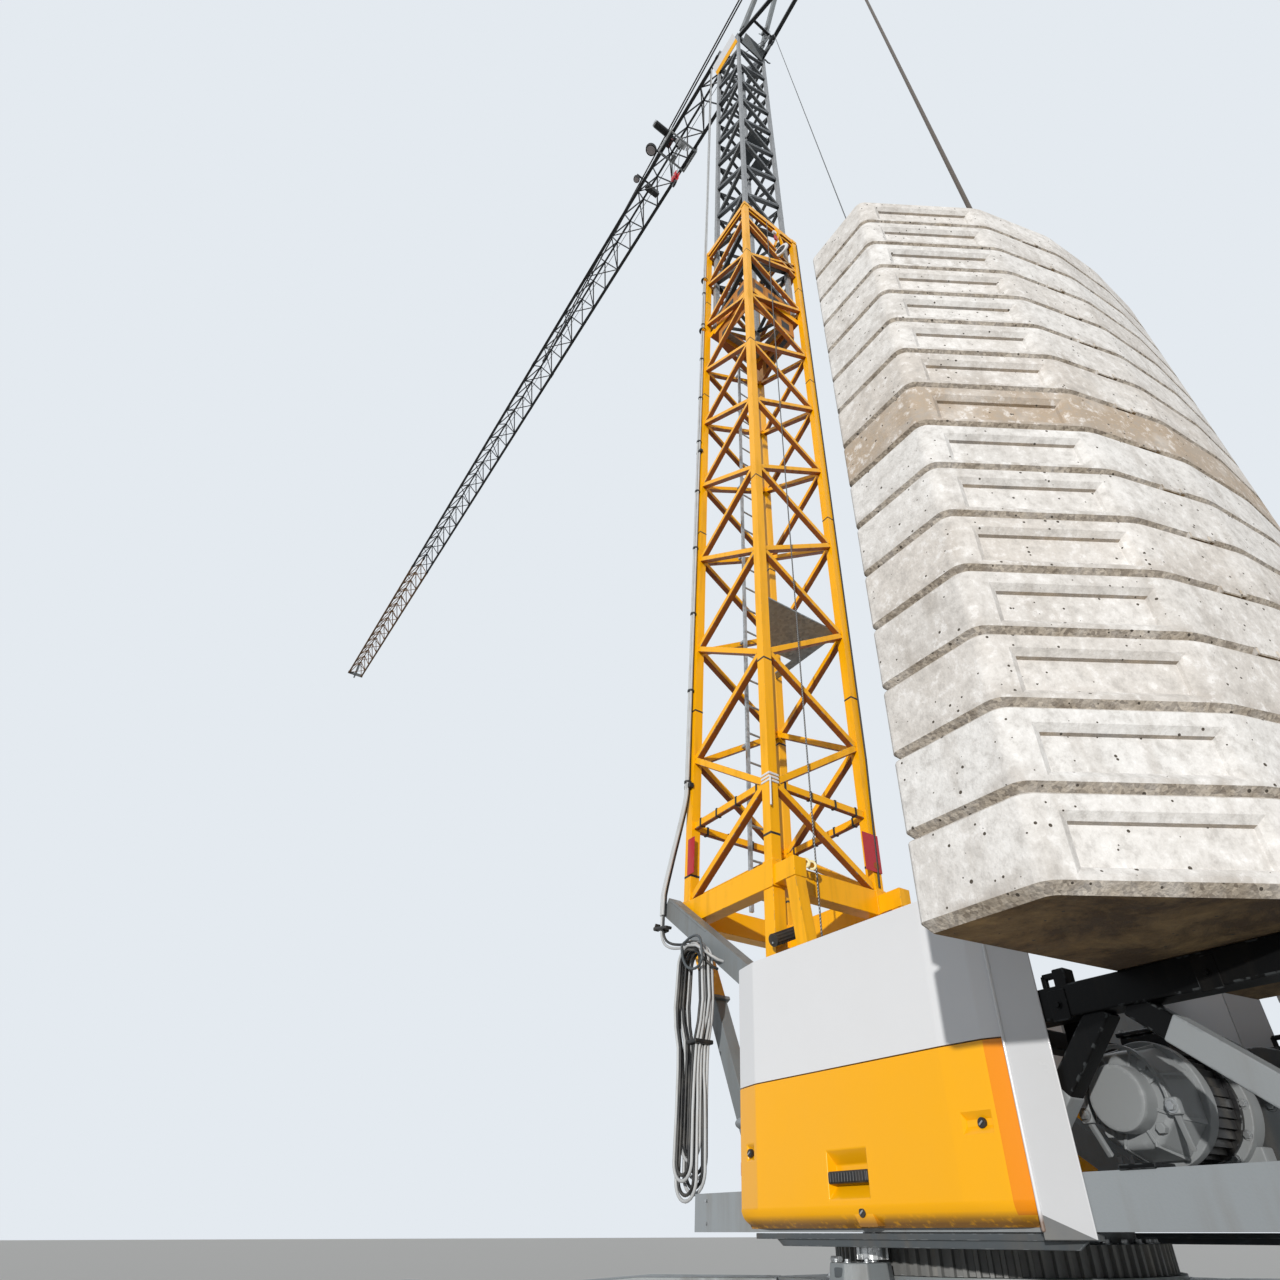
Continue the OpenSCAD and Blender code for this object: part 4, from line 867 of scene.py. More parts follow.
# ---- Hoist motor: cast grey brake and gear housings with ribs and hexagon bolts, a black finned
# motor body, a junction box with brass glands, and the gearbox that carries the drum.
def cast_enamel(name, paint, rough=0.42):
    """Enamelled casting: sandy skin under a satin coat, dusty in the corners."""
    mat = painted_steel(name, paint, rough, 0.28, 0.35, "#7d776c", "#a0a4a6", 1.4)
    tree = mat.node_tree
    bump = next(n for n in tree.nodes if n.type == "BUMP")
    sand = add(tree, "TexNoise", {"Vector": add(tree, "TexCoord").outputs["Object"], "Scale": 420.0, "Detail": 2.0})
    tree.links.new(sand.outputs["Fac"], bump.inputs["Height"])
    bump.inputs["Strength"].default_value = 0.3
    bump.inputs["Distance"].default_value = 0.0006
    return mat


cast_grey = cast_enamel("grey_cast_enamel", "#8b8f91")
black_enamel = cast_enamel("black_motor_enamel", "#17181a", 0.36)
brass = galvanised("brass_cable_glands", "#b08a45", 0.35)
bm = fresh()
HX, HZ = -0.590, 0.823  # the hoist's axis


def on_axis(y):
    """A point on the hoist's axis."""
    return Vector((HX, y, HZ))


def spoke(a):
    """The way out from the hoist's axis at an angle."""
    return Vector((math.cos(a), 0, math.sin(a)))


disc(bm, on_axis(0.310), on_axis(0.364), 0.052, 0, 0.0, 64)
rim = [e for e in bm.edges if all(abs(v.co.y - 0.364) < 0.0005 for v in e.verts)]
round_edges(bm, rim, 0.008, 2, 50)
octagon = bmesh.ops.create_cone(bm, cap_ends=True, segments=8, radius1=0.096, radius2=0.078, depth=0.085,
                                matrix=beam(on_axis(0.240), on_axis(0.325), 1.0, 1.0)
                                @ Matrix.Scale(1 / 0.085, 4, (0, 0, 1))
                                @ Matrix.Rotation(math.radians(22.5), 4, "Z"))["verts"]
round_edges(bm, {e for v in octagon for e in v.link_edges}, 0.010, 3)
for k in range(8):
    a = math.radians(45 * k + 22.5)
    out = spoke(a)
    cube(bm, beam(on_axis(0.244) + out * 0.092, on_axis(0.328) + out * 0.072, 0.004, 0.010), 0, 0.0012)
    cube(bm, beam(on_axis(0.3265) + out * 0.050, on_axis(0.3265) + out * 0.071, 0.004, 0.005), 0, 0.001)
    a += math.radians(22.5)
    out = spoke(a)
    if k % 2 == 0:
        disc(bm, on_axis(0.320) + out * 0.0655, on_axis(0.334) + out * 0.0655, 0.0090, 0, 0.0015, 6)
disc(bm, on_axis(0.222), on_axis(0.246), 0.099, 0, 0.003, 64)
disc(bm, on_axis(0.205), on_axis(0.222), 0.093, 0, 0.002, 64)
arch = [on_axis(0.330) + Vector((0.0745 * math.cos(math.radians(a)), 0, -0.012 + 0.094 * math.sin(math.radians(a))))
        for a in range(0, 181, 9)]
for a, b in zip(arch, arch[1:]):
    cube(bm, beam(a, b + (b - a) * 0.12, 0.012, 0.006), 0, 0.001, 1)
for s in (-1, 1):
    ear = on_axis(0.330) + Vector((s * 0.080, 0, -0.018))
    cube(bm, box(ear - Vector((0.011, 0.009, 0.013)), ear + Vector((0.011, 0.009, 0.013))), 0, 0.004)
    bolt(bm, ear + Vector((0, 0.009, 0)), (0, 1, 0), 0.015, 2)
    cube(bm, beam(ear - Vector((0, 0, 0.010)), ear - Vector((s * 0.006, 0.030, 0.060)), 0.010, 0.008), 0, 0.002)
disc(bm, on_axis(0.105), on_axis(0.206), 0.073, 1, 0.001, 48)
for k in range(30):
    a = math.tau * k / 30
    out = spoke(a)
    cube(bm, beam(on_axis(0.114) + out * 0.079, on_axis(0.203) + out * 0.079, 0.0022, 0.014), 1, 0.0004, 1)
disc(bm, on_axis(0.102), on_axis(0.113), 0.089, 1, 0.002, 48)
cube(bm, box((HX - 0.046, 0.128, HZ + 0.078), (HX + 0.046, 0.208, HZ + 0.116)), 1, 0.004)
cube(bm, box((HX - 0.050, 0.124, HZ + 0.116), (HX + 0.050, 0.212, HZ + 0.124)), 1, 0.002)
for x in (-0.041, 0.041):
    for y in (0.132, 0.203):
        bolt(bm, (HX + x, y, HZ + 0.124), (0, 0, 1), 0.008, 2)
for y in (0.150, 0.178):
    disc(bm, (HX - 0.046, y, HZ + 0.096), (HX - 0.060, y, HZ + 0.096), 0.010, 3, 0.001, 6)
    disc(bm, (HX - 0.060, y, HZ + 0.096), (HX - 0.070, y, HZ + 0.096), 0.008, 3, 0.001, 16)
disc(bm, on_axis(0.062), on_axis(0.103), 0.103, 0, 0.003, 64)
disc(bm, on_axis(0.0415), on_axis(0.062), 0.096, 0, 0.002, 64)
for k in range(12):
    a = math.tau * k / 12
    bolt(bm, on_axis(0.103) + 0.094 * spoke(a), (0, 1, 0), 0.012, 2)
cube(bm, box((HX - 0.09, 0.0412, 0.668), (HX + 0.09, 0.085, 0.760)), 0, 0.004)
cube(bm, box((HX - 0.09, 0.0412, 0.668), (HX + 0.09, 0.110, 0.676)), 0, 0.002)
for x in (-0.07, 0.07):
    bolt(bm, (HX + x, 0.097, 0.676), (0, 0, 1), 0.016, 2)
cube(bm, box((HX - 0.09, -0.2948, 0.668), (HX + 0.09, -0.2712, 0.885)), 0, 0.004)
disc(bm, on_axis(-0.306), on_axis(-0.2948), 0.048, 0, 0.002)
for k in range(6):
    a = math.tau * k / 6
    bolt(bm, on_axis(-0.306) + 0.038 * spoke(a), (0, -1, 0), 0.010, 2)
piece("hoist_gear_motor", bm, [cast_grey, black_enamel, zinc_bolt, brass], "platform", ["hoist_motor"],
      30)


# ---- Hoist drum: turned steel flanges on a shaft, wound with one even layer of greased wire rope.
def wire_rope(name, tone):
    """Steel wire rope: six bright strands with dark grease between them, seen as slanting bands."""
    mat, tree, shader, place = material(name)
    strands = add(tree, "TexWave", {"Vector": place, "Scale": 55.0, "Distortion": 0.6, "Detail": 1.0},
                  bands_direction="DIAGONAL")
    colour = blend(tree, strands.outputs["Fac"], srgb("#2b2b2a"), srgb(tone))
    bump = add(tree, "Bump", {"Height": strands.outputs["Fac"], "Strength": 0.6, "Distance": 0.001}).outputs[0]
    plug(tree, shader, {"Base Color": colour, "Metallic": 0.7, "Roughness": 0.42, "Normal": bump})
    return mat


rope = wire_rope("greased_wire_rope", "#8b8d8e")
bm = fresh()
for a, b, radius, soft, sides in ((-0.265, -0.253, 0.140, 0.003, 72), (0.023, 0.035, 0.140, 0.003, 72),
                                  (-0.253, 0.023, 0.0905, 0.0, 64), (-0.305, -0.2655, 0.0298, 0.002, 40),
                                  (0.0355, 0.070, 0.0298, 0.002, 40)):
    disc(bm, on_axis(a), on_axis(b), radius, 0, soft, sides)
for k in range(33):
    ring = bmesh.ops.create_circle(bm, segments=8, radius=0.0041,
                                   matrix=Matrix.Translation((HX + 0.0905, -0.249 + k * 0.0083, HZ))
                                   @ Matrix.Rotation(math.radians(90), 4, "X"))["verts"]
    edges = list({e for v in ring for e in v.link_edges})
    spun = bmesh.ops.spin(bm, geom=edges, cent=on_axis(0), axis=(0, 1, 0), dvec=(0, 0, 0), angle=math.tau, steps=48,
                          use_merge=True)
    for face in {f for v in spun["geom_last"] if isinstance(v, bmesh.types.BMVert) for f in v.link_faces}:
        face.material_index = 1
for face in bm.faces:
    away = face.calc_center_median() - on_axis(face.calc_center_median().y)
    if 0.0868 < away.length < 0.096 and len(face.verts) == 4 and face.calc_area() < 0.0001:
        face.material_index = 1
for s in (-0.2652, 0.0352):
    for k in range(8):
        a = math.tau * k / 8
        bolt(bm, on_axis(s) + 0.112 * spoke(a), (0, math.copysign(1, s), 0), 0.014, 0)
bmesh.ops.recalc_face_normals(bm, faces=bm.faces)
flange_paint = painted_steel("drum_flange_paint", "#3a3e41", 0.4, 0.3, 0.8)
piece("hoist_drum_wound", bm, [flange_paint, rope], "drum", ["hoist_drum"], 40)


# ---- Tower foot: deep box beams round the tower's feet and legs of square tube down to the platform, of
# welded plate in plain yellow paint, with a black roller and two pale eyes at its rear.
tower_paint = painted_steel("yellow_tower_paint", "#fcb404", 0.30, 0.24, 0.55, "#8f6420", "#7b6a4c")
tower_paint.node_tree.nodes["Principled BSDF"].inputs["Specular IOR Level"].default_value = 0.3
bm = carry("tower_foot", 0.005)
TX, HALF = 0.686, 0.2425  # the tower's axis, and half the distance of its chords
for s in (-1, 1):
    cube(bm, box((0.418, s * HALF - 0.031, 0.7152), (0.470, s * HALF + 0.031, 0.726)), 0, 0.003)
    cube(bm, box((0.4095, s * HALF - 0.034, 1.516), (0.4135, s * HALF + 0.034, 1.600)), 0, 0.001)
for s in (-1, 1):
    top, low = Vector((0.9085, s * HALF, 1.545)), Vector((0.500, s * HALF, 0.675))
    way = (low - top).normalized()
    joint = top + way * 0.34
    near = lambda f: (f.calc_center_median() - top - way * (f.calc_center_median() - top).dot(way)).length < 0.04
    for share in (0.34, 0.352):
        facet_cut(bm, [f for f in bm.faces if near(f)], top + way * share, way)
    for face in bm.faces:
        if near(face) and (face.calc_center_median() - joint).dot(way) > 0 and face.calc_center_median().z < 1.4:
            face.material_index = 2
    cube(bm, beam(joint, joint + way * 0.012, 0.066, 0.066), 2, 0.002)
piece("tower_foot_beams", bm, [tower_paint, zinc_bolt, grey_paint], "platform", ["tower_foot"])
bm = fresh()
inner_end, outer_end = Vector((0.385, 0.182, 1.385)), Vector((0.385, 0.302, 1.332))
disc(bm, inner_end, outer_end, 0.0165, 1, 0.001, 24)
for k in range(12):
    out = Matrix.Rotation(math.tau * k / 12, 3, outer_end - inner_end) @ Vector((0.0168, 0, 0))
    step = (outer_end - inner_end) * 0.03
    cube(bm, beam(inner_end + step + out, outer_end - step + out, 0.004, 0.004), 1, 0.0005, 1)
for a, b, r, finish in ((0.0, -0.07, 0.0205, 2), (1.0, 1.03, 0.0195, 1)):
    disc(bm, inner_end.lerp(outer_end, a), inner_end.lerp(outer_end, b), r, finish, 0.001, 24)
for z in (-0.009, 0.009):
    disc(bm, outer_end + Vector((0, 0.001, z)), outer_end + Vector((0, 0.0055, z)), 0.0030, 3, 0.0, 12)
cube(bm, box((0.386, 0.262, 1.325), (0.4185, 0.272, 1.352)), 0, 0.002)
cube(bm, beam((0.4115, 0.218, 1.588), (0.372, 0.168, 1.604), 0.006, 0.026), 4, 0.002)
for y, z in ((0.168, 1.600), (0.140, 1.598)):
    ring = bmesh.ops.create_circle(bm, segments=10, radius=0.0042,
                                   matrix=Matrix.Translation((0.366, y, z + 0.0135)))["verts"]
    bmesh.ops.rotate(bm, verts=ring, cent=(0.366, y, z + 0.0135), matrix=Matrix.Rotation(math.radians(90), 3, "Y"))
    spun = bmesh.ops.spin(bm, geom=list({e for v in ring for e in v.link_edges}), cent=(0.366, y, z),
                          axis=Vector((-0.86, 0.5, 0)).normalized(), dvec=(0, 0, 0), angle=math.tau, steps=28,
                          use_merge=True)
    for face in bm.faces:
        if (face.calc_center_median() - Vector((0.366, y, z))).length < 0.021 and face.material_index == 0:
            face.material_index = 4
bmesh.ops.recalc_face_normals(bm, faces=bm.faces)
piece("foot_roller_and_eyes", bm,
      [tower_paint, black_moulding, deep_yellow_and_facet_shade_coat, zinc_bolt, painted_steel("pale_primer", "#f0e6b4", 0.5, 0.2, 0.2)],
      "platform")


# ---- Foot struts: long grey box struts that brace the tower foot against the platform, pinned at the
# lower end between two ears.
bm = carry("foot_struts", 0.005)
for s in (-1, 1):
    cube(bm, beam((0.932, s * 0.310, 1.598), (0.70, s * 0.310, 1.431), 0.054, 0.006), 0, 0.002)
    disc(bm, (-0.194, s * 0.310 - 0.034, 0.745), (-0.194, s * 0.310 + 0.034, 0.745), 0.014, 1, 0.002, 24)
cube(bm, beam((0.992, 0.352, 1.507), (0.905, 0.352, 1.492), 0.026, 0.010), 2, 0.002)
cube(bm, beam((0.992, 0.352, 1.500), (0.980, 0.352, 1.522), 0.020, 0.006), 2, 0.001)
cube(bm, box((0.936, 0.330, 1.488), (0.972, 0.3435, 1.506)), 2, 0.002)
hoop = smooth_path([(0.729, 0.336, 1.402), (0.729, 0.370, 1.398), (0.729, 0.398, 1.390), (0.722, 0.4045, 1.386),
                    (0.690, 0.4050, 1.394), (0.655, 0.4050, 1.394), (0.630, 0.4050, 1.378),
                    (0.620, 0.4050, 1.345), (0.618, 0.4050, 1.312),
                    (0.636, 0.4050, 1.296), (0.664, 0.4050, 1.293), (0.698, 0.4050, 1.305), (0.722, 0.4050, 1.330),
                    (0.733, 0.4050, 1.358), (0.738, 0.4030, 1.380)], 3)
for a, b in zip(hoop, hoop[1:]):
    disc(bm, a, b + (b - a) * 0.15, 0.0042, 3, 0.0, 12)
cube(bm, box((HANK_X - 0.062, 0.3330, 1.084), (HANK_X - 0.012, 0.4010, 1.096)), 2, 0.003)
piece("foot_strut_boxes", bm, [grey_paint, zinc_bolt, black_moulding, dark_grey_paint], "platform",
      ["foot_struts"])


# ---- Outer tower: four square-tube chords, rolled and welded, with lacing of rounded square tube in a
# zigzag on each side; the faces that look down take a darker brown, which is painted shade. Upright ochre
# plates stand inside it, round the foot of the inner tower, with black boxes for openings: painted shade.
# The darker brown that the faces looking down take: painted shade.
underside_shade_paint = painted_steel("yellow_paint_painted_underside_shade", "#94500f", 0.5, 0.5, 0.7, "#63360f")
deck_plate = painted_steel("ochre_deck_plate", "#b8782c", 0.5, 0.45, 0.8, "#7a4a1c")


def paint_shade_below(bm, finish, steep=-0.25):
    """Gives the faces in the first finish that look down a darker brown finish, which is painted shade."""
    bm.normal_update()
    for face in bm.faces:
        if face.material_index == 0 and face.normal.z < steep:
            face.material_index = finish


bm = carry("outer_tower_chords", 0.006, 3)
for x in (-1, 1):
    for y in (-1, 1):
        cx, cy = TX + x * HALF, y * HALF
        for z in (1.70, 2.45, 3.6, 4.9, 6.1):
            cube(bm, box((cx - 0.0212, cy - 0.0212, z), (cx + 0.0212, cy + 0.0212, z + 0.009)), 1, 0.001)
        cube(bm, box((cx - 0.026, cy - 0.026, 1.6022), (cx + 0.026, cy + 0.026, 1.612)), 0, 0.003)
        cube(bm, box((cx - 0.0245, cy - 0.0245, 6.872), (cx + 0.0245, cy + 0.0245, 6.9165)), 0, 0.003)
for s in (-1, 1):
    cube(bm, box((TX - 0.186, s * 0.1975 - 0.0025, 5.46), (TX + 0.150, s * 0.1975 + 0.0025, 5.642)), 3, 0.001, 1)
    # Black boxes on the ochre plates stand for their openings: painted shade.
    cube(bm, box((TX - 0.14, s * 0.1975 - 0.0035, 5.52), (TX - 0.03, s * 0.1975 + 0.0035, 5.60)), 1, 0.001, 1)
    cube(bm, box((TX + 0.02, s * 0.1975 - 0.0035, 5.49), (TX + 0.11, s * 0.1975 + 0.0035, 5.57)), 1, 0.001, 1)
cube(bm, box((TX - 0.200, -0.19, 5.46), (TX - 0.195, 0.19, 5.642)), 3, 0.001, 1)
# More black boxes for openings on the rear plate: painted shade.
for y in (-0.15, -0.03, 0.09):
    cube(bm, box((TX - 0.201, y, 5.50), (TX - 0.194, y + 0.07, 5.59)), 1, 0.001, 1)
for s in (-1, 1):
    for u in (-0.17, -0.06, 0.05, 0.16):
        cube(bm, box((TX + u - 0.012, s * HALF - 0.014, 6.9155), (TX + u + 0.012, s * HALF + 0.014, 6.945)), 0, 0.002)
        cube(bm, box((TX + s * HALF - 0.014, u - 0.012, 6.9155), (TX + s * HALF + 0.014, u + 0.012, 6.945)), 0, 0.002)
paint_shade_below(bm, 2, -0.5)
piece("outer_chord_tubes", bm, [tower_paint, black_moulding, underside_shade_paint, deck_plate], "platform",
      ["outer_tower_chords"])

KNOT_STEP = 0.299  # height from one knot of the lacing to the next
SIDES = {"left": ((TX, HALF), (1, 0)), "right": ((TX, -HALF), (-1, 0)), "front": ((TX + HALF, 0), (0, 1)),
         "rear": ((TX - HALF, 0), (0, -1))}
for word, (middle, way) in SIDES.items():
    bm = fresh()
    reach = HALF - 0.0205
    knots = []
    for k in range(18):
        s = reach if k % 2 == 0 else -reach
        knots.append(Vector((middle[0] + way[0] * s, middle[1] + way[1] * s, 1.608 + KNOT_STEP * k)))
    for k in range(17):
        a, b = knots[k], knots[k + 1]
        lift = Vector((0, 0, 0.012))
        cube(bm, beam(a + (lift if k == 0 else lift * 0.3), b - lift * 0.3, 0.028, 0.028), 0, 0.003)
    low = Vector((middle[0] + way[0] * reach, middle[1] + way[1] * reach, 1.907))
    high = Vector((middle[0] - way[0] * reach, middle[1] - way[1] * reach, 1.907))
    cube(bm, beam(low, high, 0.020, 0.032), 0, 0.004, 3)
    cube(bm, beam(low + Vector((0, 0, 4.93)), high + Vector((0, 0, 4.93)), 0.020, 0.028), 0, 0.004, 3)
    for share in (0.10, 0.34, 0.62, 0.90):
        here = low.lerp(high, share)
        step = (high - low).normalized() * 0.005
        cube(bm, beam(here - step, here + step, 0.0235, 0.0355), 1, 0.001)
    if word == "rear":
        for a, b in ((knots[15], knots[16] + Vector((0, 0, 0.10))),
                     (knots[16] + Vector((0, 0, -0.09)), knots[17] + Vector((0, 0, -0.10)))):
            cube(bm, beam(a, b, 0.026, 0.024), 0, 0.003)
    paint_shade_below(bm, 2)
    piece("outer_lacing_" + word, bm, [tower_paint, black_moulding, underside_shade_paint], "platform",
          ["outer_tower_" + word])


# ---- Tower fittings: pale nylon sheave on yellow arms, taut steel rope, tags, clips and ties of the
# wires, made as plain moulded and turned parts.
tag_red = painted_steel("red_tag_enamel", "#b3202b", 0.35, 0.2, 0.3)
bm = fresh()
disc(bm, (0.397, -0.066, 6.455), (0.394, -0.052, 6.455), 0.064, 2, 0.003, 48)
disc(bm, (0.3975, -0.0675, 6.455), (0.3935, -0.0505, 6.455), 0.042, 0, 0.002, 40)
disc(bm, (0.3985, -0.072, 6.455), (0.3925, -0.046, 6.455), 0.012, 4, 0.002, 24)
for z in (-0.07, 0.07):
    cube(bm, beam((0.418, -0.078, 6.475 + z), (0.398, -0.074, 6.455 + z * 0.2), 0.018, 0.012), 3, 0.002)
cube(bm, beam((0.424, -0.13, 6.60), (0.424, -0.05, 6.86), 0.022, 0.014), 3, 0.002)
cube(bm, beam((0.424, -0.02, 6.52), (0.424, -0.09, 6.86), 0.022, 0.014), 3, 0.002)
cube(bm, box((0.405, -0.045, 6.62), (0.418, -0.015, 6.69)), 1, 0.003)
disc(bm, (0.402, -0.02, 6.735), (0.422, -0.02, 6.735), 0.018, 2, 0.003, 24)
for a, b in (((0.405, 0.061, 6.804), (0.405, 0.077, 4.162)), ((0.405, 0.077, 4.162), (0.405, 0.083, 2.033)),
             ((0.405, 0.083, 2.033), (0.405, 0.082, 0.7152))):
    disc(bm, a, b, 0.003, 4, 0.0, 10)
disc(bm, (0.4175, -0.262, 6.85), (0.4175, -0.258, 2.154), 0.004, 0, 0.0, 10)
disc(bm, (0.4175, -0.258, 2.154), (0.4175, -0.237, 1.62), 0.004, 0, 0.0, 10)
cube(bm, box((0.880, 0.2660, 1.705), (0.924, 0.2690, 1.850)), 1, 0.001)
cube(bm, box((0.4165, -0.262, 1.675), (0.4195, -0.180, 1.823)), 1, 0.001)
disc(bm, (0.4155, -0.236, 1.700), (0.4165, -0.236, 1.700), 0.014, 5, 0.0, 24)
for z in (1.898, 1.912, 1.926):
    cube(bm, box((0.4415 - 0.0235, 0.2425 - 0.0235, z), (0.4415 + 0.0235, 0.2425 + 0.0235, z + 0.009)), 2, 0.002)
disc(bm, (0.416, 0.262, 1.915), (0.413, 0.266, 1.80), 0.0035, 2, 0.0, 10)
for z in (5.70, 6.45):
    disc(bm, (0.9285, 0.276, z - 0.006), (0.9285, 0.276, z + 0.006), BUNDLE_R + 0.014, 0, 0.002, 24)
    cube(bm, box((0.905, 0.262, z - 0.012), (0.925, 0.290, z + 0.012)), 3, 0.002)
for k in range(10):
    z = 2.10 + 0.46 * k
    disc(bm, (0.9285, 0.276, z - 0.005), (0.9285, 0.276, z + 0.005), BUNDLE_R + 0.0025, 0, 0.001, 20)
for z in (2.08, 4.30):
    cube(bm, box((0.900, 0.264, z - 0.010), (0.944, 0.284, z + 0.010)), 0, 0.002)
piece("tower_fittings", bm, [black_moulding, tag_red, white_coat, tower_paint, rope, underside_shade_paint],
      "platform")


# ---- Inner tower: telescoped out of the outer one, of galvanised square tube. Its lacing is rolled angle
# steel in dark grey paint, darkened in part as painted shade, with light edges that are partly worn paint and
# partly painted highlight, and upright ochre plates go round its foot.
# Dark grey that is partly painted shade; its pale chips along the edges are partly painted highlight.
lacing_paint_shade_and_highlights = painted_steel("dark_grey_lacing_paint_with_painted_shade_and_highlights", "#2c3033", 0.38, 0.25, 0.9, "#6b6862", "#9a9fa2")
mast_zinc = galvanised("mast_galvanised_steel", "#9a9da0", 0.5)
mast_zinc.node_tree.nodes["Principled BSDF"].inputs["Metallic"].default_value = 0.1
bm = carry("inner_tower_chords", 0.005, 3)
INNER = 0.194  # half the distance of the inner chords
for x in (-1, 1):
    for y in (-1, 1):
        for z in (7.4, 9.0, 10.6):
            cx, cy = TX + x * INNER, y * INNER
            cube(bm, box((cx - 0.0185, cy - 0.0185, z), (cx + 0.0185, cy + 0.0185, z + 0.05)), 0, 0.003)
piece("inner_chord_tubes", bm, [mast_zinc], "platform", ["inner_tower_chords"])
for word, (middle, way) in SIDES.items():
    bm = fresh()
    middle = (TX + (middle[0] - TX) * INNER / HALF, middle[1] * INNER / HALF)
    reach = INNER - 0.017
    knots = []
    for k in range(21):
        s = reach if k % 2 == 0 else -reach
        knots.append(Vector((middle[0] + way[0] * s, middle[1] + way[1] * s, 5.820 + KNOT_STEP * k)))
    for a, b in zip(knots, knots[1:]):
        out = Vector((middle[0] - TX, middle[1], 0)).normalized()
        drop = (b - a).normalized().cross(out)
        drop = drop if drop.z < 0 else -drop
        turn = Matrix((out, drop, (b - a).normalized())).transposed().to_4x4()
        size = (b - a).length
        cube(bm, turned((a + b) / 2 + out * 0.0135, turn, 0.004, 0.030, size), 0, 0.0012, 1)
        cube(bm, turned((a + b) / 2 + drop * 0.0130, turn, 0.028, 0.004, size), 0, 0.0012, 1)
        # A bright zinc strip along each angle's outer edge: painted highlight.
        cube(bm, turned((a + b) / 2 + out * 0.0150 - drop * 0.0140, turn, 0.0035, 0.005, size), 1, 0.0, 1)
    ends = [Vector((middle[0] + way[0] * u + out.x * 0.012, middle[1] + way[1] * u + out.y * 0.012, 0))
            for u in (-0.17, 0.17)]
    cube(bm, beam(ends[0] + Vector((0, 0, 5.80)), ends[1] + Vector((0, 0, 5.80)), 0.004, 0.15), 2, 0.001, 1)
    for share, wide in ((0.16, 0.07), (0.55, 0.10), (0.86, 0.05)):
        here = ends[0].lerp(ends[1], share) + Vector((0, 0, 5.79))
        half = (ends[1] - ends[0]).normalized() * wide / 2
        cube(bm, beam(here - half, here + half, 0.006, 0.07), 0, 0.001, 1)
    bmesh.ops.recalc_face_normals(bm, faces=bm.faces)
    piece("inner_lacing_" + word, bm, [lacing_paint_shade_and_highlights, zinc_bolt, deck_plate], "platform",
          ["inner_tower_" + word])


# ---- Ladder and rest platform: aluminium rungs between thin rails inside the tower, and a galvanised
# grating to rest on.
aluminium = galvanised("dull_aluminium", "#b9bdc0", 0.4)
bm = carry("ladder", 0.002, 1, 60)
piece("ladder_rails", bm, [aluminium], "platform", ["ladder"])
bm = carry("rest_platform", 0.001, 1, 60)
for a, b in (((TX - 0.155, -0.165, 9.350), (TX + 0.155, -0.01, 9.356)),
             ((TX - 0.155, -0.165, 8.750), (TX + 0.01, -0.05, 8.756)),
             ((TX - 0.155, -0.165, 11.60), (TX - 0.02, -0.06, 11.606))):
    cube(bm, box(a, b), 1, 0.001, 1)
    cube(bm, box((a[0], a[1], a[2] + 0.004), (b[0], a[1] + 0.004, a[2] + 0.060)), 1, 0.001, 1)
piece("rest_grating", bm, [weathered_zinc, dark_grey_paint], "platform", ["rest_platform"])


# ---- Tower head: welded grey box with the jib's hinge and rope sheaves, a tilted board in white and yellow
# on its left face, a grey ledge behind and a hook bracket on the right.
head_paint = painted_steel("grey_head_paint", "#5d6265", 0.4, 0.3, 0.6)
bm = carry("tower_head", 0.004)
foot, rim = Vector((0.686, 0.2135, 11.740)), Vector((0.686, 0.285, 11.900))
for a, b, finish in ((0.0, 0.36, 3), (0.36, 1.0, 1)):
    tilt = Matrix.Rotation(math.atan2(foot.y - rim.y, rim.z - foot.z), 4, "X")
    cube(bm, turned(foot.lerp(rim, (a + b) / 2), tilt, 0.410, 0.004, (rim - foot).length * (b - a)), finish, 0.001)
foot, rim = Vector((0.4735, 0, 11.850)), Vector((0.395, 0, 11.975))
tilt = Matrix.Rotation(math.atan2(rim.x - foot.x, rim.z - foot.z), 4, "Y")
cube(bm, turned((foot + rim) / 2, tilt, 0.004, 0.30, (rim - foot).length), 2, 0.001)
for x, y, z in ((0.30, -0.10, 12.05), (0.27, -0.05, 12.16)):
    disc(bm, (x, y - 0.012, z), (x, y + 0.012, z), 0.062, 0, 0.003, 40)
    disc(bm, (x, y - 0.018, z), (x, y + 0.018, z), 0.018, 4, 0.002, 24)
for a, b in (((0.24, -0.15, 12.02), (0.34, -0.02, 12.20)), ((0.22, -0.02, 12.06), (0.37, -0.12, 12.16)),
             ((0.33, -0.16, 12.00), (0.25, -0.12, 12.26)), ((0.25, 0.00, 12.10), (0.30, -0.08, 12.32))):
    disc(bm, a, b, 0.0065, 4, 0.0, 12)
cube(bm, beam((0.474, -0.215, 12.055), (0.466, -0.262, 11.990), 0.014, 0.020), 0, 0.003)
cube(bm, beam((0.466, -0.262, 11.994), (0.456, -0.284, 12.004), 0.012, 0.016), 0, 0.003)
for y in (-0.150, -0.074):
    cube(bm, beam((0.236, y, 11.80), (0.470, y, 12.07), 0.008, 0.070), 2, 0.002)
disc(bm, (0.244, -0.160, 11.83), (0.244, -0.064, 11.83), 0.013, 4, 0.002, 24)
piece("tower_head_box", bm, [head_paint, white_coat, grey_paint, tower_paint, zinc_bolt], "platform",
      ["tower_head"])


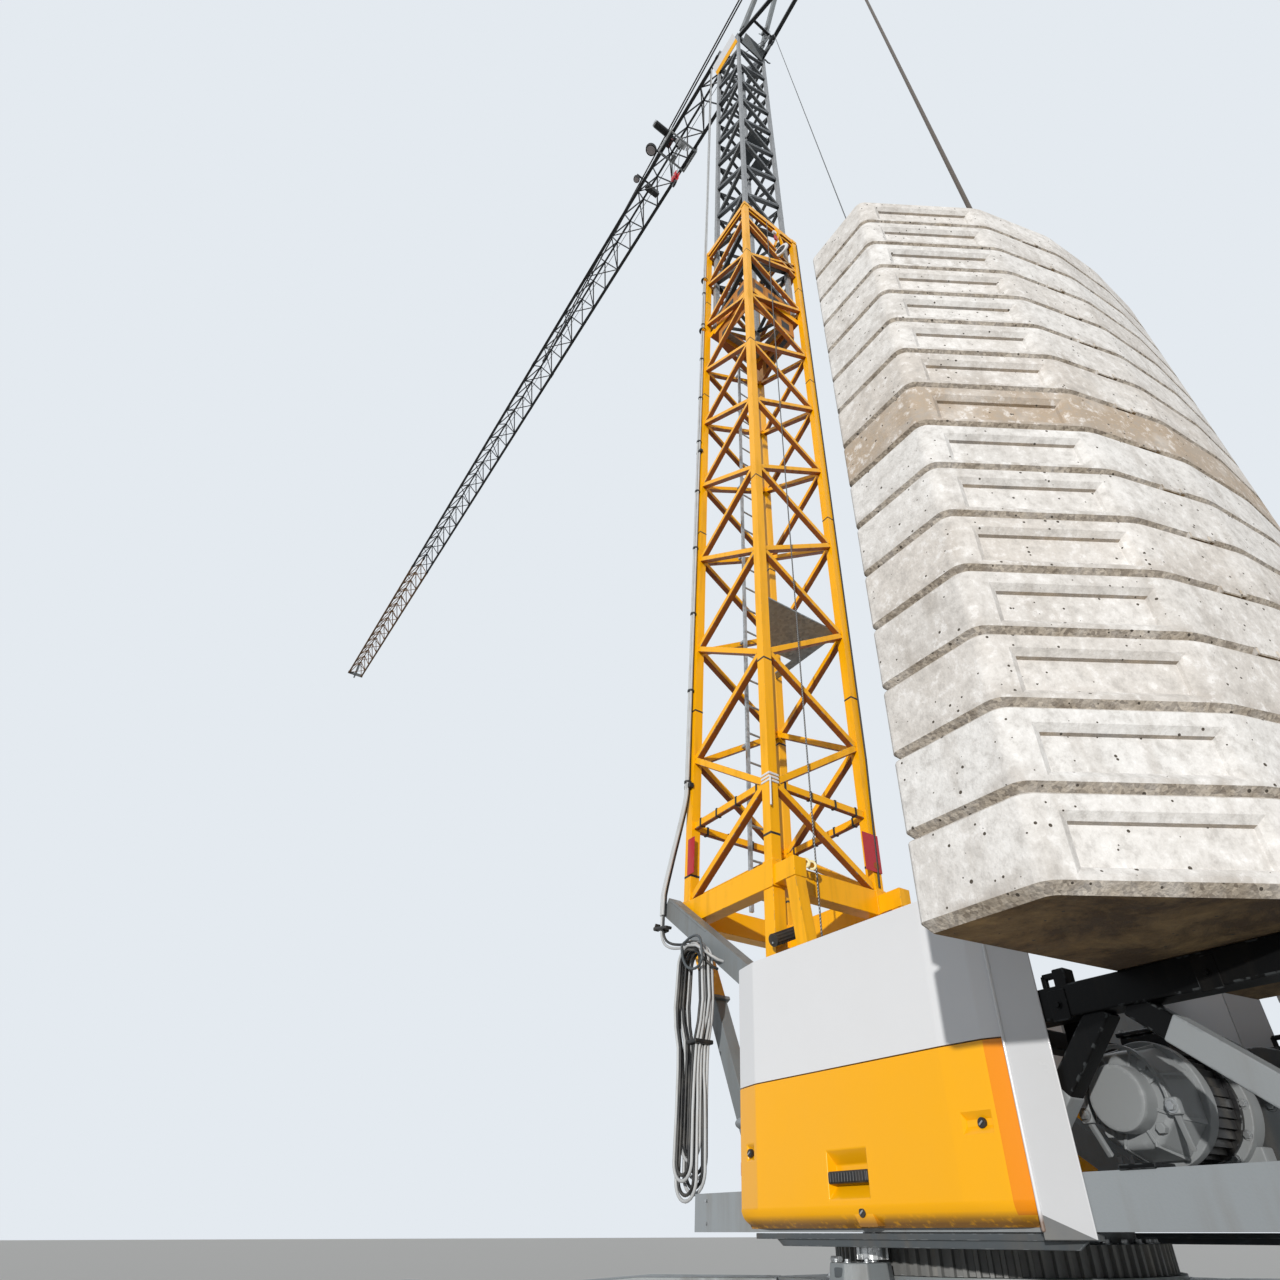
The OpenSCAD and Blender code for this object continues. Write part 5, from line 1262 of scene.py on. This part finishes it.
# ---- Guying: the A-frame over the head in grey, the black rear strut with its rope sheave, the rear stay
# of twisted strand down to the ballast, and the blackened steel bars that hold the jib.
bm = carry("guy_frame", 0.004)
disc(bm, (-0.86, -0.047, 15.44), (-0.86, 0.047, 15.44), 0.018, 1, 0.002, 24)
piece("guy_frame_legs", bm, [grey_paint, zinc_bolt], "platform", ["guy_frame"])
bm = carry("rear_strut", 0.004)
disc(bm, (-0.907, -0.042, 11.54), (-0.907, 0.042, 11.54), 0.016, 1, 0.002, 24)
piece("rear_strut_legs", bm, [black_paint, zinc_bolt], "platform", ["rear_strut"])
stay = wire_rope("weathered_stay_strand", "#7d6c5c")
piece("rear_stay_rods", carry("rear_stay", 0.001, 1, 60), [stay], "platform", ["rear_stay"])
bm = carry("jib_stays", 0.0, 1, 60)
bm.normal_update()
for v in bm.verts:
    v.co += v.normal * 0.005
piece("jib_stay_rods", bm, [painted_steel("blackened_stay_bar", "#2b2826", 0.45, 0.3, 0.4)], "platform",
      ["jib_stays"])


# ---- Jib: three triangular truss sections of square and round tube, black, the outer one in ochre
# brown, pinned end to end by fork plates.
jib = Matrix.Translation((TX, 0, 12.716)) @ Matrix.Rotation(math.radians(-3.5), 4, "Y")
jib_paint = painted_steel("black_jib_paint", "#191b1d", 0.36, 0.2, 0.5, "#4a443c", "#606466")
brown_paint = painted_steel("ochre_jib_paint", "#6b4a22", 0.45, 0.45, 0.7, "#3d3226", "#8a6a3f")


def jib_section(x0, x1, bays):
    """One welded section: two flat lower chords, a round upper one and zigzag lacing on three sides."""
    bm = fresh()
    start, step = x0 + 0.018, (x1 - x0 - 0.036) / bays / 2
    for s in (-1, 1):
        cube(bm, box((x0, s * 0.18 - 0.022, -0.013), (x1, s * 0.18 + 0.022, 0.013)), 0, 0.004, 2)
        for k in range(2 * bays):
            a = Vector((start + k * step, s * 0.168 if k % 2 == 0 else 0, 0 if k % 2 == 0 else 0.36))
            b = Vector((start + (k + 1) * step, s * 0.168 if k % 2 else 0, 0 if k % 2 else 0.36))
            disc(bm, a, b, 0.0105, 0, 0.0, 10)
        for x in (x0 + 0.005, x1 - 0.055):
            cube(bm, box((x, s * 0.18 - 0.026, -0.020), (x + 0.05, s * 0.18 + 0.026, 0.020)), 0, 0.004)
    disc(bm, (x0, 0, 0.36), (x1, 0, 0.36), 0.0155, 0, 0.001, 20)
    for k in range(bays):
        a = Vector((start + 2 * k * step, -0.17 if k % 2 == 0 else 0.17, 0))
        b = Vector((start + 2 * (k + 1) * step, 0.17 if k % 2 == 0 else -0.17, 0))
        disc(bm, a, b, 0.0085, 0, 0.0, 8)
    for x in (x0 + 0.004, x1 - 0.044):
        cube(bm, box((x, -0.022, 0.338), (x + 0.04, 0.022, 0.382)), 0, 0.004)
    return bm


for word, slot, paint, x0, x1, bays in (("inner", "jib_black", jib_paint, 0.230, 6.0117, 14),
                                        ("middle", "jib_black", jib_paint, 6.012, 13.1447, 17),
                                        ("outer", "jib_brown", brown_paint, 13.145, 19.3, 15)):
    bm = jib_section(x0, x1, bays)
    if word == "middle":
        cube(bm, box((6.120, -0.012, 0.370), (6.180, 0.012, 0.420)), 0, 0.003)
        cube(bm, box((6.120, -0.028, 0.385), (6.140, 0.028, 0.420)), 0, 0.003)
    bmesh.ops.transform(bm, matrix=jib, verts=bm.verts)
    piece("jib_section_" + word, bm, [paint], "platform", ["jib_" + word + "_section"])
piece("jib_tip_frame", carry("jib_tip", 0.003), [head_paint], "platform", ["jib_tip"])


# ---- Trolley winch, floodlights and ropes under the jib: a finned black motor with bright turned rings, a
# small drum, two black moulded lamps with frosted glass, and greased wire ropes.
WINCH, WINCH_Z, GEAR = 1.479, 0.24, 2.19  # places along the jib and above its lower chords
bm = fresh()
cube(bm, box((WINCH - 0.04, -0.04, 0.15), (WINCH + 0.04, 0.04, 0.27)), 0, 0.004)
cube(bm, box((WINCH - 0.02, -0.008, 0.26), (WINCH + 0.02, 0.008, 0.345)), 0, 0.002)
disc(bm, (WINCH, 0.03, WINCH_Z), (WINCH, 0.175, WINCH_Z), 0.03, 0, 0.002)
disc(bm, (WINCH, 0.168, WINCH_Z), (WINCH, 0.190, WINCH_Z), 0.056, 1, 0.003)
disc(bm, (WINCH, 0.188, WINCH_Z), (WINCH, 0.412, WINCH_Z), 0.050, 0, 0.003)
for k in range(12):
    y = 0.200 + k * 0.0175
    disc(bm, (WINCH, y, WINCH_Z), (WINCH, y + 0.005, WINCH_Z), 0.0545, 0, 0.001)
disc(bm, (WINCH, 0.410, WINCH_Z), (WINCH, 0.432, WINCH_Z), 0.047, 1, 0.006)
cube(bm, box((WINCH - 0.049, 0.105, 0.025), (WINCH + 0.081, 0.170, 0.085)), 2, 0.005)
cube(bm, box((GEAR - 0.04, -0.095, 0.007), (GEAR + 0.04, 0.095, 0.095)), 0, 0.004)
disc(bm, (GEAR, -0.11, 0.06), (GEAR, 0.11, 0.06), 0.034, 0, 0.003)
for k in range(14):
    disc(bm, (GEAR, -0.0935 + k * 0.0143, 0.06), (GEAR, -0.0885 + k * 0.0143, 0.06), 0.036, 1, 0.001, 32)
bmesh.ops.transform(bm, matrix=jib, verts=bm.verts)
red_enamel = painted_steel("dark_red_enamel", "#5e1f22", 0.4, 0.3, 0.4)
piece("trolley_winch_motor", bm, [black_enamel, bright_steel, red_enamel], "platform", ["trolley_winch"])
lens = bpy.data.materials.new("frosted_lamp_glass")
lens.use_nodes = True
shader = lens.node_tree.nodes["Principled BSDF"]
shader.inputs["Base Color"].default_value = srgb("#b4acac")
shader.inputs["Roughness"].default_value = 0.3
bm = carry("floodlights", 0.003, 2, 50)
for x, y, z, r in ((1.8, 0.28, 0.25, 0.078), (2.26, 0.25, 0.22, 0.046)):
    disc(bm, jib @ Vector((x, y, z - 0.0325)), jib @ Vector((x, y, z - 0.0295)), r * 0.80, 1, 0.001, 40)
    disc(bm, jib @ Vector((x, y, z + 0.004)), jib @ Vector((x, y, z + 0.016)), r * 1.04, 0, 0.003, 48)
piece("floodlight_housings", bm, [black_moulding, lens], "platform", ["floodlights"])
for name, node, body in (("hoist_rope_runs", "hoist_rope", "platform"), ("hook_fall_ropes", "hook_falls", "trolley")):
    piece(name, carry(node, 0.0005, 1, 80), [rope], body, [node])


# ---- Trolley and hook block: welded grey plates on four wheels with turned sheaves and bolted guards, and
# the red block of bolted plates with its forged black hook.
bm = carry("trolley", 0.003)
extra = fresh()
for s in (-1, 1):
    disc(extra, (1.350, s * 0.09 - 0.012, -0.074), (1.350, s * 0.09 + 0.012, -0.074), 0.040, 3, 0.003)
    disc(extra, (1.350, s * 0.09 - 0.018, -0.074), (1.350, s * 0.09 + 0.018, -0.074), 0.014, 0, 0.002, 24)
    cube(extra, box((1.312, s * 0.09 - 0.019, -0.086), (1.368, s * 0.09 - 0.014, -0.052)), 2, 0.002)
    cube(extra, box((1.330, s * 0.2208 - 0.0016, -0.074), (1.392, s * 0.2208 + 0.0016, 0.030)), 2, 0.001)
    for x in (1.352, 1.592):
        bolt(extra, (x, s * 0.2198, 0.0373), (0, s, 0), 0.020, 1)
    for x in (1.43, 1.47, 1.51):
        bolt(extra, (x, s * 0.2198, -0.050), (0, s, 0), 0.014, 1)
cube(extra, box((1.318, -0.060, -0.094), (1.400, 0.060, -0.088)), 3, 0.001)
cube(extra, box((1.304, -0.190, -0.092), (1.320, 0.190, -0.085)), 2, 0.001)
bmesh.ops.transform(extra, matrix=jib, verts=extra.verts)
made = bpy.data.meshes.new("trolley_details")
extra.to_mesh(made)
extra.free()
bm.from_mesh(made)
trolley_paint = painted_steel("worn_grey_trolley_paint", "#8b8e8f", 0.42, 0.4, 0.8)
piece("trolley_frame", bm, [trolley_paint, zinc_bolt, pale_grey_and_painted_sunlight_paint, white_coat], "trolley", ["trolley"])
red_paint = painted_steel("red_hook_paint", "#cc1f2b", 0.3, 0.2, 0.7)
bm = carry("hook_block", 0.003)
middle = sum((Vector(c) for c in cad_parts["hook_block"].bound_box), Vector()) / 8
top = max(c[2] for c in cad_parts["hook_block"].bound_box)
HOOK = Vector((middle.x, 0.0, top - 0.080))
for v in bm.verts:
    if v.co.z < HOOK.z - 0.135:
        v.co.x = HOOK.x + (v.co.x - HOOK.x) * 0.77
for face in bm.faces:
    if face.calc_center_median().z < HOOK.z - 0.122:
        face.material_index = 1
for s in (-1, 1):
    plate = HOOK + Vector((0, s * 0.0295, -0.008))
    cube(bm, turned(plate, Matrix.Identity(4), 0.088, 0.005, 0.126), 0, 0.002)
    disc(bm, HOOK + Vector((0, s * 0.027, 0)), HOOK + Vector((0, s * 0.036, 0)), 0.020, 2, 0.003, 24)
    for x, z in ((-0.048, 0.035), (0.048, 0.035), (-0.040, -0.08), (0.040, -0.08)):
        bolt(bm, HOOK + Vector((x, s * 0.027, z)), (0, s, 0), 0.014, 2)
cube(bm, beam(HOOK + Vector((-0.042, 0, -0.180)), HOOK + Vector((-0.022, 0, -0.216)), 0.012, 0.006), 2, 0.001)
piece("hook_block_plates", bm, [red_paint, black_enamel, zinc_bolt], "hook", ["hook_block"])
